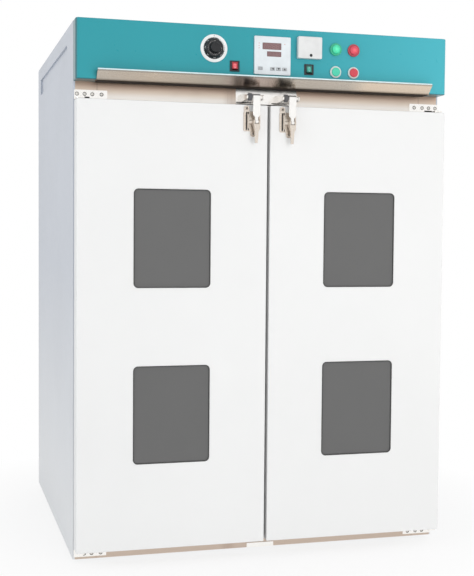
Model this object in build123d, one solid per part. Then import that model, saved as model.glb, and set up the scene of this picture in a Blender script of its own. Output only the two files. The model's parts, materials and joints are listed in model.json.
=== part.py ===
from build123d import *
import os
from math import cos, pi, sin

os.makedirs("parts", exist_ok=True)

# Two-door forced-air drying oven, in millimetres.
# +Z is up, the doors face -Y, X = 0 is the middle between the doors, Z = 0 is the floor.

# Cabinet
cabinet_width = 980.0
cabinet_height = 1340.0
body_depth = 891.0
sheet = 1.5
side_wall = 80.0
floor_wall = 85.0
ceiling_wall = 60.0
controls_bay = 195.0
rear_wall = 60.0
motor_bay = 125.0
plenum_depth = 70.0
wool_above_studs = 12.0
cut_over = 5.0
hole_clear = 0.2

# Feet
foot_height = 12.0
foot_r = 18.0
foot_setback = 70.0
stud_r = 5.0
stud_length = 22.0
foot_edge = 2.0

# Front
frame_thickness = 3.0
hem_width = 5.0
hem_depth = 12.0
hem_r = 3.5
fascia_height = 147.5
fascia_end_r = 9.0
fascia_edge_r = 3.0
frame_behind_fascia = 25.0
door_head_gap = 46.5
door_foot_gap = 27.0

# Doors
door_thickness = 42.0
door_gap = 6.0
door_side_inset = 2.0
door_middle_gap = 7.5
door_corner = 2.5
door_front_r = 1.8
plug_depth = 18.0
plug_clearance = 8.0
plug_middle_clearance = 12.0
liner_corner = 6.0
window_width = 196.0
window_height = 246.0
window_corner = 12.0
window_spacing = 195.0
window_offset = 3.0
pane_thickness = 5.0
pane_recess = 1.2
gasket_width = 2.5
gasket_lip = 0.8
pane_bite = 1.75
seal_width = 14.0
seal_clear = 0.3
seal_inset = 1.0
edge_seal_depth = 12.0
edge_seal_reach = 2.2
edge_seal_from_rear = 4.0
edge_seal_end_gap = 6.0
liner_clear = 0.2
pocket_clear = 0.5

# Hinges
pivot_inset = 14.0
pivot_from_rear = 24.0
pin_r = 4.0
pin_clearance = 0.05
pin_depth = 14.0
boss_r = 8.0
boss_wool_clear = 2.0
pin_stand = 1.0
tongue_width = 26.0
tongue_thickness = 4.0
tongue_clearance = 1.5
tongue_nose = 9.0
tongue_corner_cut = 3.0
tongue_corner = 4.0
hinge_plate_width = 82.0
hinge_plate_height = 24.0
hinge_plate_thickness = 3.0
hinge_plate_inset = 2.0
plate_corner = 1.5
hinge_hole_places = (7.0, 26.0, 45.0, 68.0)
hinge_hole_lift = 2.0
hinge_low_share = 0.8
tongue_relief = 19.0
ring_r = 4.8
ring_depth = 1.6
screw_r = 2.5
screw_head_r = 3.5
screw_head_height = 2.0
screw_length = 6.0
screw_head_edge = 0.8
hex_recess = 2.0
hex_recess_depth = 1.2

# Plates on the front frame
strike_width = 164.0
strike_height = 40.0
strike_below_fascia = 1.5
strike_offset = 6.0
stop_width = 73.0
stop_height = 12.0

# Latches
latch_places = (-51.0, 44.0)
latch_plate_left = 17.0
lever_side_clear = 0.6
latch_plate_top = 17.0
latch_plate_height = 50.0
latch_plate_thickness = 2.5
latch_plate_corner = 4.0
latch_tab_r = 7.0
latch_top_tab = (-9.0, 9.5)
latch_low_tab = (8.0, 73.5)
arm_offset = 12.5
arm_width = 19.0
arm_thickness = 3.0
arm_neck_width = 10.0
arm_neck_rise = 6.0
arm_taper = 5.0
tang_width = 8.0
cheek_thickness = 2.5
wall_inset = 8.0
wall_thickness = 2.5
wall_top_run = 8.0
spacer_r = 4.5
spacer_gap = 0.2
ear_r = 7.0
lever_pivot_below_door_top = 44.0
lever_pivot_out = 9.0
hook_throw = 10.0
lever_length = 53.0
lever_thickness = 3.5
lever_root_width = 16.8
lever_waist_width = 9.6
lever_waist_share = 0.45
lever_bend_share = 0.6
lever_tip_width = 7.0
lever_tip_solid = 8.0
lever_tip_out = 14.0
latch_pin_r = 2.5
roller_above_pivot = 62.0
roller_r = 4.0
hook_front_clear = 0.6
hook_rear_clear = 2.5
hook_lip_depth = 1.0
keeper_offset = 3.5
keeper_gap = 38.0
keeper_ear = 3.0
keeper_root_height = 26.0
keeper_nose_r = 6.5
keeper_foot = 8.0
keeper_shoulder = 8.0
keeper_lobe_height = 20.5
keeper_lobe_r = 6.5
keeper_plate_margin = 6.6
keeper_plate_thickness = 2.0
roller_end_gap = 0.3

# Trim strip under the fascia
trim_length = 880.0
trim_rise = 21.5
trim_depth = 24.0
trim_nose = 2.0
trim_flange = 16.0
trim_under = 30.0
trim_slope_wall = 2.2

# Controls, placed from the fascia's middle and from its lower edge
controller_place = (6.0, 78.2)
controller_size = 96.0
controller_corner = 2.5
controller_bezel = 6.0
controller_body = 86.0
controller_body_depth = 70.0
controller_clear = 0.5
display_sizes = ((50.0, 17.0, -2.0, 23.5), (38.0, 13.0, 4.0, 4.0))
display_inset = 1.0
display_thickness = 2.0
display_corner = 1.0
key_offsets = (-32.0, 0.0, 16.0, 32.0)
key_height_place = -33.0
key_width = 12.0
key_height = 8.0
key_stand = 1.0
key_travel = 0.8
key_body = 4.0
key_corner = 1.0
key_clear = 0.4
dial_place = (-146.0, 89.5)
dial_r = 34.5
dial_thickness = 2.5
knob_r = 27.0
knob_height = 20.0
knob_skirt = 9.0
knob_skirt_top_r = 21.0
knob_cap_r = 14.0
knob_cap_top_r = 12.0
knob_grips = 36
knob_grip_r = 1.1
knob_gap = 0.5
knob_shaft_r = 3.0
knob_shaft_clear = 1.0
red_rocker_place = (-92.0, 48.0)
green_rocker_place = (105.0, 48.5)
rocker_width = 15.0
rocker_height = 21.0
rocker_rim = 5.0
rocker_rim_height = 2.5
rocker_depth = 18.0
rocker_clear = 0.4
rocker_sweep_r = 14.0
rocker_tilt = 8.0
rocker_end_clear = 1.8
rocker_pivot_depth = 6.0
rocker_pin_r = 1.5
rocker_pin_reach = 1.2
rocker_wall = 2.2
module_place = (104.0, 102.5)
module_width = 64.0
module_height = 55.0
module_wall = 2.0
module_stand = 14.0
module_corner = 3.0
module_button_place = (2.0, -19.5)
module_button_r = 3.4
module_hole_r = 6.0
button_stand = 1.5
lamp_columns = (177.0, 226.0)
lamp_row = 103.0
button_row = 45.5
collar_r = 15.0
collar_height = 5.0
collar_wall = 3.5
barrel_r = 11.0
barrel_depth = 32.0
barrel_wall = 2.0
lamp_bezel_r = 16.0
lens_r = 11.5
lens_height = 10.0
push_stand = 3.0
push_travel = 4.0
push_clear = 0.4

# Chamber fittings
baffle_gap = 2.0
baffle_slot = (70.0, 9.0)
baffle_columns = 8
baffle_rows = 12
rail_depth = 18.0
rail_width = 30.0
rail_ledge = 14.0
rail_setback = 60.0
rail_end_gap = 20.0
rail_sheet = 2.0
shelf_count = 4
shelf_wire_r = 2.5
shelf_wire_sink = 1.0
shelf_frame_r = 4.0
shelf_wire_pitch = 42.0
shelf_side_clear = 6.0
shelf_front_clear = 45.0
shelf_rear_clear = 12.0
heater_r = 5.0
heater_loops = 3
heater_span = 520.0
heater_pitch = 60.0
heater_bend = 22.0
heater_above_fan = 60.0
probe_r = 3.0
probe_length = 90.0
probe_height = 160.0
probe_side = 330.0

# Fan and motor
fan_r = 140.0
fan_width = 44.0
fan_blades = 16
fan_blade_tilt = 35.0
fan_eye_share = 0.7
fan_tip_share = 0.98
fan_plate = 2.0
fan_hub_r = 18.0
fan_wall_clear = 10.0
shaft_r = 8.0
shaft_clear = 0.08
shaft_hole_clear = 6.0
shaft_past_eye = 8.0
shaft_past_flange = 30.0
motor_r = 62.0
motor_length = 90.0
motor_flange_r = 80.0
motor_flange = 6.0
motor_edge_r = 8.0
fan_height = 560.0

# Exhaust
duct_half = 30.0
duct_wall = 2.0
duct_port_half = 60.0
duct_base_half = 70.0
duct_base_thickness = 2.0
duct_from_front = 470.0
vent_flange_r = 52.0
vent_flange = 3.0
vent_holes = 6
vent_hole_r = 7.0
vent_hole_circle = 22.0
damper_r = 40.0
damper_thickness = 3.0
damper_gap = 0.4
damper_knob_r = 9.0
damper_knob_height = 16.0
damper_edge = 0.8
damper_knob_edge_r = 2.0
damper_pin_r = 4.0

# Vents and rear fittings
side_band = (125.0, 815.0)
side_band_height = 48.0
side_band_below_top = 40.0
side_band_recess = 5.0
side_band_corner = 4.0
rear_slot = (76.0, 6.0)
rear_slot_pitch = (90.0, 18.0)
rear_slot_rows = 10
gland_r = 14.0
gland_bore_r = 6.0
gland_length = 20.0
gland_inner = 16.0
gland_nut_length = 9.0
gland_thread_r = 8.8
gland_dome_r = 11.5
gland_side = 380.0
gland_height = 1240.0
bay_plate_margin = 30.0
bay_plate_depth = 150.0
bay_plate_setback = 80.0
bay_plate_thickness = 2.0
contactor_size = (45.0, 75.0, 80.0)
contactor_pitch = 80.0
contactor_setback = 30.0
terminal_size = (120.0, 30.0, 25.0)
terminal_side = 220.0
terminal_setback = 40.0

# Heights above the floor
base_z = foot_height
top_z = base_z + cabinet_height
fascia_z = top_z - fascia_height
door_z0 = base_z + door_foot_gap
door_z1 = fascia_z - door_head_gap
door_mid_z = (door_z0 + door_z1) / 2
chamber_z0 = base_z + floor_wall
chamber_z1 = top_z - controls_bay - ceiling_wall
bay_z = chamber_z1 + ceiling_wall

# Depths: what stands out furthest is the front of the oven, and the gland is its rear
cheek_r = ear_r - 1.0
knob_reach = dial_thickness + knob_gap + knob_height
front_reach = max(trim_depth, knob_reach, lever_pivot_out + hook_throw + cheek_r - 1.0)
overall_depth = front_reach + door_thickness + door_gap + body_depth + gland_length
door_y0 = -overall_depth / 2 + front_reach
door_y1 = door_y0 + door_thickness
frame_y = door_y1 + door_gap
rear_y = frame_y + body_depth
frame_back = frame_y + frame_thickness
liner_rear = rear_y - sheet - motor_bay - rear_wall
plenum_y = liner_rear - plenum_depth

# Widths
half_width = cabinet_width / 2
inner_half = half_width - sheet
chamber_half = half_width - side_wall
door_outer = half_width - door_side_inset
door_inner = door_middle_gap / 2
door_mid_x = (door_outer + door_inner) / 2 + window_offset
pivot_x = half_width - pivot_inset
pivot_y = door_y1 - pivot_from_rear
window_lift = (window_height + window_spacing) / 2
window_heights = (door_mid_z - window_lift, door_mid_z + window_lift)

# Latch heights and places
latch_plate_right = arm_offset + lever_root_width / 2 + lever_side_clear + wall_thickness
lever_z = door_z1 - lever_pivot_below_door_top
lever_y = door_y0 - lever_pivot_out
hook_y = lever_y - hook_throw
roller_z = lever_z + roller_above_pivot
roller_y = hook_y + arm_thickness / 2 + hook_front_clear + roller_r
fan_z = base_z + fan_height
duct_y = frame_y + duct_from_front
duct_base_z = (chamber_z1 + sheet, chamber_z1 + sheet + duct_base_thickness)
gland_z = base_z + gland_height


def block(x, y, z):
    """A box from pairs of low and high limits."""
    centre = Pos((x[0] + x[1]) / 2, (y[0] + y[1]) / 2, (z[0] + z[1]) / 2)
    return centre * Box(x[1] - x[0], y[1] - y[0], z[1] - z[0])


def rod_x(r, x, y, z):
    return Pos((x[0] + x[1]) / 2, y, z) * Rot(0, 90, 0) * Cylinder(r, x[1] - x[0])


def rod_y(r, x, y, z):
    return Pos(x, (y[0] + y[1]) / 2, z) * Rot(90, 0, 0) * Cylinder(r, y[1] - y[0])


def rod_z(r, x, y, z):
    return Pos(x, y, (z[0] + z[1]) / 2) * Cylinder(r, z[1] - z[0])


def rounded_y(width, height, corner, x, y, z):
    """A plate with rounded corners, as thick along Y as the pair y says."""
    plane = Plane(origin=(x, y[0], z), x_dir=(1, 0, 0), z_dir=(0, 1, 0))
    return extrude(plane * RectangleRounded(width, height, corner), amount=y[1] - y[0])


def prism_x(points, x):
    """A side outline of (y, z) points, as wide along X as the pair x says."""
    face = Plane.YZ.offset(x[0]) * make_face(Polyline(*points, close=True))
    return extrude(face, amount=x[1] - x[0], dir=(1, 0, 0))


def prism_y(points, y):
    """A front outline of (x, z) points, as deep along Y as the pair y says."""
    plane = Plane(origin=(0, y[0], 0), x_dir=(1, 0, 0), z_dir=(0, -1, 0))
    face = plane * make_face(Polyline(*points, close=True))
    return extrude(face, amount=y[1] - y[0], dir=(0, 1, 0))


def front_edges(solid, y):
    """The edges that lie in the plane at one Y."""
    return solid.edges().filter_by_position(Axis.Y, y - 0.01, y + 0.01)


def inset(pair, by):
    """A pair of limits, drawn in at both ends."""
    return pair[0] + by, pair[1] - by


def through(level):
    """A pair of limits for a cut that runs well past a sheet at one level."""
    return level - cut_over, level + cut_over


def pan(x, y, z, corner, front_r, wall):
    """A tray open towards +Y, with rounded front edges."""
    body = block(x, y, z)
    body = fillet(body.edges().filter_by(Axis.Y), corner)
    body = fillet(front_edges(body, y[0]), front_r)
    return body - block(inset(x, wall), (y[0] + wall, y[1] + 1), inset(z, wall))


def bent_front(x, y, z, end_r, edge_r):
    """A block whose two upright front edges and two level ones are rounded."""
    body = block(x, y, z)
    body = fillet(front_edges(body, y[0]).filter_by(Axis.Z), end_r)
    return fillet(front_edges(body, y[0]).filter_by(Axis.X), edge_r)


def screw_y(x, y, z):
    """A pan-head screw driven towards +Y, with a hexagon recess."""
    head = rod_y(screw_head_r, x, (y - screw_head_height, y), z)
    head = chamfer(front_edges(head, y - screw_head_height), screw_head_edge)
    plane = Plane(origin=(x, y - screw_head_height, z), x_dir=(1, 0, 0), z_dir=(0, 1, 0))
    recess = extrude(plane * RegularPolygon(hex_recess, 6), amount=hex_recess_depth)
    return head - recess + rod_y(screw_r, x, (y, y + screw_length), z)


nodes = {}


def add(name, *solids):
    nodes[name] = list(solids)


# Casing
def side_panel(side):
    outer = side * half_width
    x = sorted((outer, outer - side * sheet))
    panel = block(x, (frame_y, rear_y), (base_z, top_z - sheet))
    hem_x = sorted((outer, outer - side * hem_width))
    hem = block(hem_x, (frame_y, frame_y + hem_depth), (base_z, top_z - sheet))
    panel = panel + hem
    corner = panel.edges().filter_by(Axis.Z).filter_by_position(Axis.Y, frame_y - 0.01, frame_y + 0.01)
    panel = fillet(corner.sort_by(Axis.X)[0 if side < 0 else -1], hem_r)
    z1 = top_z - side_band_below_top
    y = (frame_y + side_band[0], frame_y + side_band[1])
    z = (z1 - side_band_height, z1)
    tray = band_block(side, -1, side_band_recess + sheet, inset(y, -sheet), inset(z, -sheet), sheet)
    hollow = band_block(side, 1, side_band_recess, y, z, 0)
    return panel - band_block(side, 1, side_band_recess, y, z, 0) + (tray - hollow)


def hem_pocket(side, clear, z):
    """Room for a side panel's front hem."""
    x = sorted((side * half_width, side * (half_width - hem_width - clear)))
    return block(x, (frame_y, frame_y + hem_depth + clear), z)


def band_block(side, out, depth, y, z, grow):
    """A block with rounded corners that reaches in from a side, and past it where out is 1."""
    outer = side * half_width
    start = outer + side if out > 0 else outer
    x = sorted((start, outer - side * depth))
    body = block(x, y, z)
    return fillet(body.edges().filter_by(Axis.X), side_band_corner + grow)


def make_casing():
    add("left_side_panel", side_panel(-1))
    add("right_side_panel", side_panel(1))
    top = block((-half_width, half_width), (frame_y, rear_y), (top_z - sheet, top_z))
    add("top_cover", top - duct_square(duct_half, through(top_z)))

    rear = block((-inner_half, inner_half), (rear_y - sheet, rear_y), (base_z, top_z - sheet))
    slots = []
    for row in range(rear_slot_rows):
        z = fan_z + (row - (rear_slot_rows - 1) / 2) * rear_slot_pitch[1]
        for x in (-rear_slot_pitch[0], 0, rear_slot_pitch[0]):
            slots.append(block((x - rear_slot[0] / 2, x + rear_slot[0] / 2), through(rear_y),
                               (z - rear_slot[1] / 2, z + rear_slot[1] / 2)))
    slots.append(rod_y(gland_thread_r + hole_clear, gland_side, through(rear_y), gland_z))
    add("rear_cover", rear - slots)

    pan_y = (frame_back, rear_y - sheet)
    base = block((-inner_half, inner_half), pan_y, (base_z, base_z + sheet * 2))
    cuts = [rod_z(stud_r + hole_clear, x, y, through(base_z)) for x, y in foot_places()]
    cuts += [hem_pocket(side, 0, through(base_z)) for side in (-1, 1)]
    add("base_pan", base - cuts)
    add("levelling_feet", *[foot(x, y) for x, y in foot_places()])


def foot_places():
    x = half_width - foot_setback
    return [(sx * x, y) for sx in (-1, 1) for y in (frame_y + foot_setback, rear_y - foot_setback)]


def foot(x, y):
    pad = rod_z(foot_r, x, y, (0, foot_height))
    pad = chamfer(pad.edges().filter_by_position(Axis.Z, -0.01, 0.01), foot_edge)
    return pad + rod_z(stud_r, x, y, (foot_height - 1, foot_height + stud_length))


def make_frame():
    half = half_width - hem_width
    plate = block((-half, half), (frame_y, frame_back), (base_z, fascia_z + frame_behind_fascia))
    mouth = block((-chamber_half, chamber_half), (frame_y - 1, frame_back + 1), (chamber_z0, chamber_z1))
    holes = [rod_y(screw_r, x, (frame_y - 1, frame_back + 1), z) for x, z in hinge_screw_places()]
    for side in (-1, 1):
        holes += [tongue_slot(side, z) for _, z, _ in hinge_levels()]
    add("front_frame", plate - mouth - holes)


# Chamber
def duct_square(half, z):
    """A square block round the duct's axis."""
    return block((-half, half), (duct_y - half, duct_y + half), z)


def chamber_shell():
    outer = block((-chamber_half - sheet, chamber_half + sheet), (frame_back, liner_rear),
                  (chamber_z0 - sheet, chamber_z1 + sheet))
    inner = block((-chamber_half, chamber_half), (frame_back - 1, liner_rear - sheet),
                  (chamber_z0, chamber_z1))
    holes = [
        duct_square(duct_port_half, through(chamber_z1)),
        rod_y(shaft_r + shaft_hole_clear, 0, through(liner_rear), fan_z),
        rod_y(probe_r + hole_clear, probe_side, through(liner_rear), chamber_z1 - probe_height),
    ]
    return outer - inner - holes


def make_chamber():
    add("inner_chamber", chamber_shell())
    gap = sheet + pocket_clear
    y = (frame_back, liner_rear)
    z = (chamber_z0 - gap, chamber_z1 + gap)
    tall = (base_z + stud_length + wool_above_studs, bay_z)
    slabs = []
    for side in (-1, 1):
        x = sorted((side * (chamber_half + gap), side * (inner_half - pocket_clear)))
        slabs.append(block(x, y, tall) - hem_pocket(side, pocket_clear, (tall[0] - 1, tall[1] + 1)))
    x = (-chamber_half - gap, chamber_half + gap)
    slabs.append(block(x, y, (tall[0], z[0])))
    duct_hole = duct_square(duct_half + duct_wall + pocket_clear, inset((z[1], bay_z), -cut_over))
    base_pocket = duct_square(duct_base_half + pocket_clear, (z[1] - cut_over, duct_base_z[1] + pocket_clear))
    slabs.append(block(x, y, (z[1], bay_z)) - duct_hole - base_pocket)
    rear = block((-inner_half + pocket_clear, inner_half - pocket_clear),
                 (liner_rear + pocket_clear, liner_rear + rear_wall), tall)
    hole_y = (liner_rear - cut_over, rear_y)
    rear -= rod_y(shaft_r + shaft_hole_clear, 0, hole_y, fan_z)
    rear -= rod_y(probe_r + hole_clear, probe_side, hole_y, chamber_z1 - probe_height)
    slabs.append(rear)
    add("chamber_insulation", *slabs)
    make_baffle()
    make_rails_and_shelves()
    make_heater()
    probe_z = chamber_z1 - probe_height
    probe_end = liner_rear + rear_wall + 10
    probe = rod_y(probe_r, probe_side, (plenum_y - probe_length, probe_end), probe_z)
    add("temperature_probe", probe)


def make_baffle():
    half = chamber_half - baffle_gap
    z = (chamber_z0 + baffle_gap, chamber_z1 - baffle_gap)
    plate = block((-half, half), (plenum_y, plenum_y + rail_sheet), z)
    cuts = []
    column_pitch = 2 * half / baffle_columns
    row_pitch = (z[1] - z[0]) / baffle_rows
    for i in range(baffle_columns):
        for j in range(baffle_rows):
            x = -half + (i + 0.5) * column_pitch
            z_slot = z[0] + (j + 0.5) * row_pitch
            cuts.append(block((x - baffle_slot[0] / 2, x + baffle_slot[0] / 2),
                              through(plenum_y),
                              (z_slot - baffle_slot[1] / 2, z_slot + baffle_slot[1] / 2)))
    cuts.append(rod_y(probe_r + hole_clear, probe_side, through(plenum_y), chamber_z1 - probe_height))
    add("air_baffle", plate - cuts)


def shelf_heights():
    pitch = (chamber_z1 - chamber_z0) / (shelf_count + 1)
    return [chamber_z0 + (i + 1) * pitch for i in range(shelf_count)]


def make_rails_and_shelves():
    rails = []
    y0 = frame_back + rail_setback
    y1 = plenum_y - rail_setback
    for side in (-1, 1):
        wall = side * chamber_half
        for y in (y0, y1 - rail_width):
            x = sorted((wall, wall - side * rail_sheet))
            rails.append(block(x, (y, y + rail_width), inset((chamber_z0, chamber_z1), rail_end_gap)))
        for z in shelf_heights():
            x = sorted((wall - side * rail_sheet, wall - side * (rail_sheet + rail_ledge)))
            ledge = block(x, (y0, y1), (z - rail_sheet, z))
            lip_x = sorted((wall - side * rail_sheet, wall - side * 2 * rail_sheet))
            rails.append(ledge + block(lip_x, (y0, y1), (z - rail_depth, z)))
    add("shelf_rails", *rails)
    shelf = wire_shelf()
    add("wire_shelves", *[Pos(0, 0, z + shelf_frame_r) * shelf for z in shelf_heights()])


def wire_shelf():
    half = chamber_half - shelf_side_clear
    y0 = frame_back + shelf_front_clear
    y1 = plenum_y - shelf_rear_clear
    across = (-half + shelf_frame_r, half - shelf_frame_r)
    rods = [rod_y(shelf_frame_r, x, (y0, y1), 0) for x in across]
    rods += [rod_x(shelf_frame_r, across, y, 0) for y in (y0, (y0 + y1) / 2, y1)]
    count = int((across[1] - across[0]) / shelf_wire_pitch)
    pitch = (across[1] - across[0]) / count
    wire_z = shelf_frame_r + shelf_wire_r - shelf_wire_sink
    rods += [rod_y(shelf_wire_r, across[0] + i * pitch, (y0, y1), wire_z) for i in range(1, count)]
    first = rods[0]
    return first.fuse(*rods[1:])


def make_heater():
    y = plenum_y + plenum_depth / 2
    loops = []
    for i in range(heater_loops):
        z = fan_z + fan_r + heater_above_fan + i * heater_pitch
        low = rod_x(heater_r, (-heater_span / 2, heater_span / 2), y, z)
        high = rod_x(heater_r, (-heater_span / 2, heater_span / 2), y, z + 2 * heater_bend)
        bend = Pos(heater_span / 2, y, z + heater_bend) * Rot(90, 0, 0) * Torus(heater_bend, heater_r)
        bend = bend & block((heater_span / 2, heater_span), (y - 20, y + 20), (z - 50, z + 100))
        ends = []
        for end_z in (z, z + 2 * heater_bend):
            ends.append(rod_y(heater_r, -heater_span / 2, (y, liner_rear - sheet), end_z))
            ends.append(Pos(-heater_span / 2, y, end_z) * Sphere(heater_r))
        loops.append(low.fuse(high, bend, *ends))
    add("heating_elements", *loops)


# Air circulation
def make_fan():
    y1 = liner_rear - sheet - fan_wall_clear
    y0 = y1 - fan_width
    back = rod_y(fan_r, 0, (y1 - fan_plate, y1), fan_z)
    eye = rod_y(fan_r * fan_eye_share, 0, (y0 - 1, y1), fan_z)
    ring = rod_y(fan_r, 0, (y0, y0 + fan_plate), fan_z) - eye
    hub = rod_y(fan_hub_r, 0, (y0, y1), fan_z)
    blades = []
    for i in range(fan_blades):
        angle = 360 * i / fan_blades
        blade = Box(fan_r * (fan_tip_share - fan_eye_share), y1 - y0 - fan_plate, fan_plate)
        middle = fan_r * (fan_tip_share + fan_eye_share) / 2
        blade = Pos(middle, 0, 0) * Rot(0, fan_blade_tilt, 0) * blade
        blades.append(Pos(0, (y0 + y1) / 2, fan_z) * Rot(0, angle, 0) * blade)
    wheel = back.fuse(ring, hub, *blades) & rod_y(fan_r, 0, (y0 - 1, y1 + 1), fan_z)
    shaft_end = liner_rear + rear_wall + motor_flange + shaft_past_flange
    shaft = rod_y(shaft_r, 0, (y0 - shaft_past_eye, shaft_end), fan_z)
    add("fan_wheel", wheel + shaft)

    flange_y = liner_rear + rear_wall
    flange = rod_y(motor_flange_r, 0, (flange_y, flange_y + motor_flange), fan_z)
    body_y = (flange_y + motor_flange, flange_y + motor_flange + motor_length)
    body = rod_y(motor_r, 0, body_y, fan_z)
    body = fillet(body.edges().filter_by_position(Axis.Y, body_y[1] - 0.1, body_y[1] + 0.1), motor_edge_r)
    bore = rod_y(shaft_r + shaft_clear, 0, (flange_y - 1, shaft_end + pocket_clear), fan_z)
    add("circulation_motor", flange + body - bore)


# Exhaust
def vent_cuts(z):
    cuts = []
    for i in range(vent_holes):
        angle = 2 * pi * i / vent_holes
        x = vent_hole_circle * cos(angle)
        y = duct_y + vent_hole_circle * sin(angle)
        cuts.append(rod_z(vent_hole_r, x, y, z))
    return cuts


def make_exhaust():
    tube = duct_square(duct_half + duct_wall, (duct_base_z[0], top_z - sheet))
    tube += duct_square(duct_base_half, duct_base_z)
    tube -= duct_square(duct_half, (chamber_z1, top_z))
    z = (top_z, top_z + vent_flange)
    flange = rod_z(vent_flange_r, 0, duct_y, z) - vent_cuts((z[0] - 1, z[1] + 1))
    flange -= rod_z(damper_pin_r + pin_clearance, 0, duct_y, (z[0] - 1, z[1] + 1))
    add("exhaust_duct", tube, flange)
    z0 = z[1] + damper_gap
    disc = rod_z(damper_r, 0, duct_y, (z0, z0 + damper_thickness))
    disc = chamfer(disc.edges().filter_by_position(Axis.Z, z0 + damper_thickness - 0.1,
                                                   z0 + damper_thickness + 0.1), damper_edge)
    disc = disc - vent_cuts((z0 - 1, z0 + damper_thickness + 1))
    knob_z = (z0 + damper_thickness, z0 + damper_thickness + damper_knob_height)
    knob = rod_z(damper_knob_r, 0, duct_y, knob_z)
    knob_top = knob.edges().filter_by_position(Axis.Z, knob_z[1] - 0.1, knob_z[1] + 0.1)
    knob = fillet(knob_top, damper_knob_edge_r)
    pin = rod_z(damper_pin_r, 0, duct_y, (z[0] - 2, z0 + 1))
    add("exhaust_damper", disc + knob + pin)


# Doors
def door_x(side, near, far):
    """A pair of X limits on one door, from distances out from the middle."""
    return sorted((side * near, side * far))


def plug_limits():
    return plug_middle_clearance, chamber_half - plug_clearance


def door_skin(side):
    x = door_x(side, door_inner, door_outer)
    skin = pan(x, (door_y0, door_y1), (door_z0, door_z1), door_corner, door_front_r, sheet)
    for z in window_heights:
        skin -= rounded_y(window_width, window_height, window_corner, side * door_mid_x,
                          (door_y0 - 1, door_y0 + sheet + 1), z)
    for z in ((door_z0, door_z0 + pin_depth + 2), (door_z1 - pin_depth - 2, door_z1)):
        skin += rod_z(boss_r, side * pivot_x, pivot_y, z)
    for z in ((door_z0 - 1, door_z0 + pin_depth + 1), (door_z1 - pin_depth - 1, door_z1 + 1)):
        skin -= rod_z(pin_r + pin_clearance, side * pivot_x, pivot_y, z)
    return skin


def door_liner(side):
    clear = sheet + liner_clear
    x = door_x(side, door_inner + clear, door_outer - clear)
    z = (door_z0 + clear, door_z1 - clear)
    plate = block(x, (door_y1 - sheet, door_y1), z)
    near, far = plug_limits()
    plug_x = door_x(side, near, far)
    plug_z = (chamber_z0 + plug_clearance, chamber_z1 - plug_clearance)
    plug_end = frame_y + plug_depth
    tray = block(plug_x, (door_y1 - sheet, plug_end), plug_z)
    tray = fillet(tray.edges().filter_by(Axis.Y), liner_corner)
    hollow = block((plug_x[0] + sheet, plug_x[1] - sheet), (door_y1 - 2 * sheet, plug_end - sheet),
                   (plug_z[0] + sheet, plug_z[1] - sheet))
    liner = plate + tray - hollow
    for zc in window_heights:
        liner -= rounded_y(window_width, window_height, window_corner, side * door_mid_x,
                           inset((door_y1, plug_end), -cut_over), zc)
    return liner


def window_tube(side, z, grow, y):
    return rounded_y(window_width + 2 * grow, window_height + 2 * grow, window_corner + grow,
                     side * door_mid_x, y, z)


def door_insulation(side):
    clear = sheet + pocket_clear
    boss = boss_r + pivot_inset + boss_wool_clear
    x = door_x(side, door_inner + clear, door_outer - boss)
    slab = block(x, (door_y0 + clear, door_y1 - clear), (door_z0 + clear, door_z1 - clear))
    near, far = plug_limits()
    plug_x = door_x(side, near + clear + liner_corner, far - clear - liner_corner)
    plug = block(plug_x, (door_y1 - clear - 1, frame_y + plug_depth - clear),
                 (chamber_z0 + plug_clearance + clear, chamber_z1 - plug_clearance - clear))
    slab += plug
    tube_y = inset((door_y0, frame_y + plug_depth), -cut_over)
    for z in window_heights:
        slab -= window_tube(side, z, gasket_width + pocket_clear, tube_y)
    return slab


def door_glass(side):
    panes = []
    grow = pane_bite - gasket_width
    outer_y = (door_y0 + pane_recess, door_y0 + pane_recess + pane_thickness)
    inner_end = frame_y + plug_depth - pane_recess
    for z in window_heights:
        panes.append(window_tube(side, z, grow, outer_y))
        panes.append(window_tube(side, z, grow, (inner_end - pane_thickness, inner_end)))
    return panes


def door_seals(side):
    seals = []
    inner_end = frame_y + plug_depth
    for z in window_heights:
        ring = window_tube(side, z, gasket_width, (door_y0 + sheet, inner_end - sheet))
        lip = window_tube(side, z, 0, (door_y0 - gasket_lip, inner_end + gasket_lip))
        ring += lip
        ring -= window_tube(side, z, -gasket_width, inset((door_y0, inner_end), -cut_over))
        for pane in door_glass(side):
            ring -= pane
        seals.append(ring)
    near = door_inner + seal_inset
    far = chamber_half + plug_clearance + seal_width
    x = door_x(side, near, far)
    edge = (chamber_z0 - plug_clearance - seal_width, chamber_z1 + plug_clearance + seal_width)
    y = (door_y1, frame_y - seal_clear)
    ring = block(x, y, edge)
    inner_x = door_x(side, near + seal_width * 0.5, far - seal_width)
    ring -= block(inner_x, (y[0] - 1, y[1] + 1), (edge[0] + seal_width, edge[1] - seal_width))
    seals.append(ring)
    strip_x = door_x(side, door_inner - edge_seal_reach, door_inner)
    strip_end = door_y1 - edge_seal_from_rear
    seals.append(block(strip_x, (strip_end - edge_seal_depth, strip_end),
                       inset((door_z0, door_z1), edge_seal_end_gap)))
    return seals


def make_door(name, side):
    add(name + "_door_skin", door_skin(side))
    add(name + "_door_liner", door_liner(side))
    add(name + "_door_insulation", door_insulation(side))
    add(name + "_door_glass", *door_glass(side))
    add(name + "_door_seals", *door_seals(side))


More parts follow.
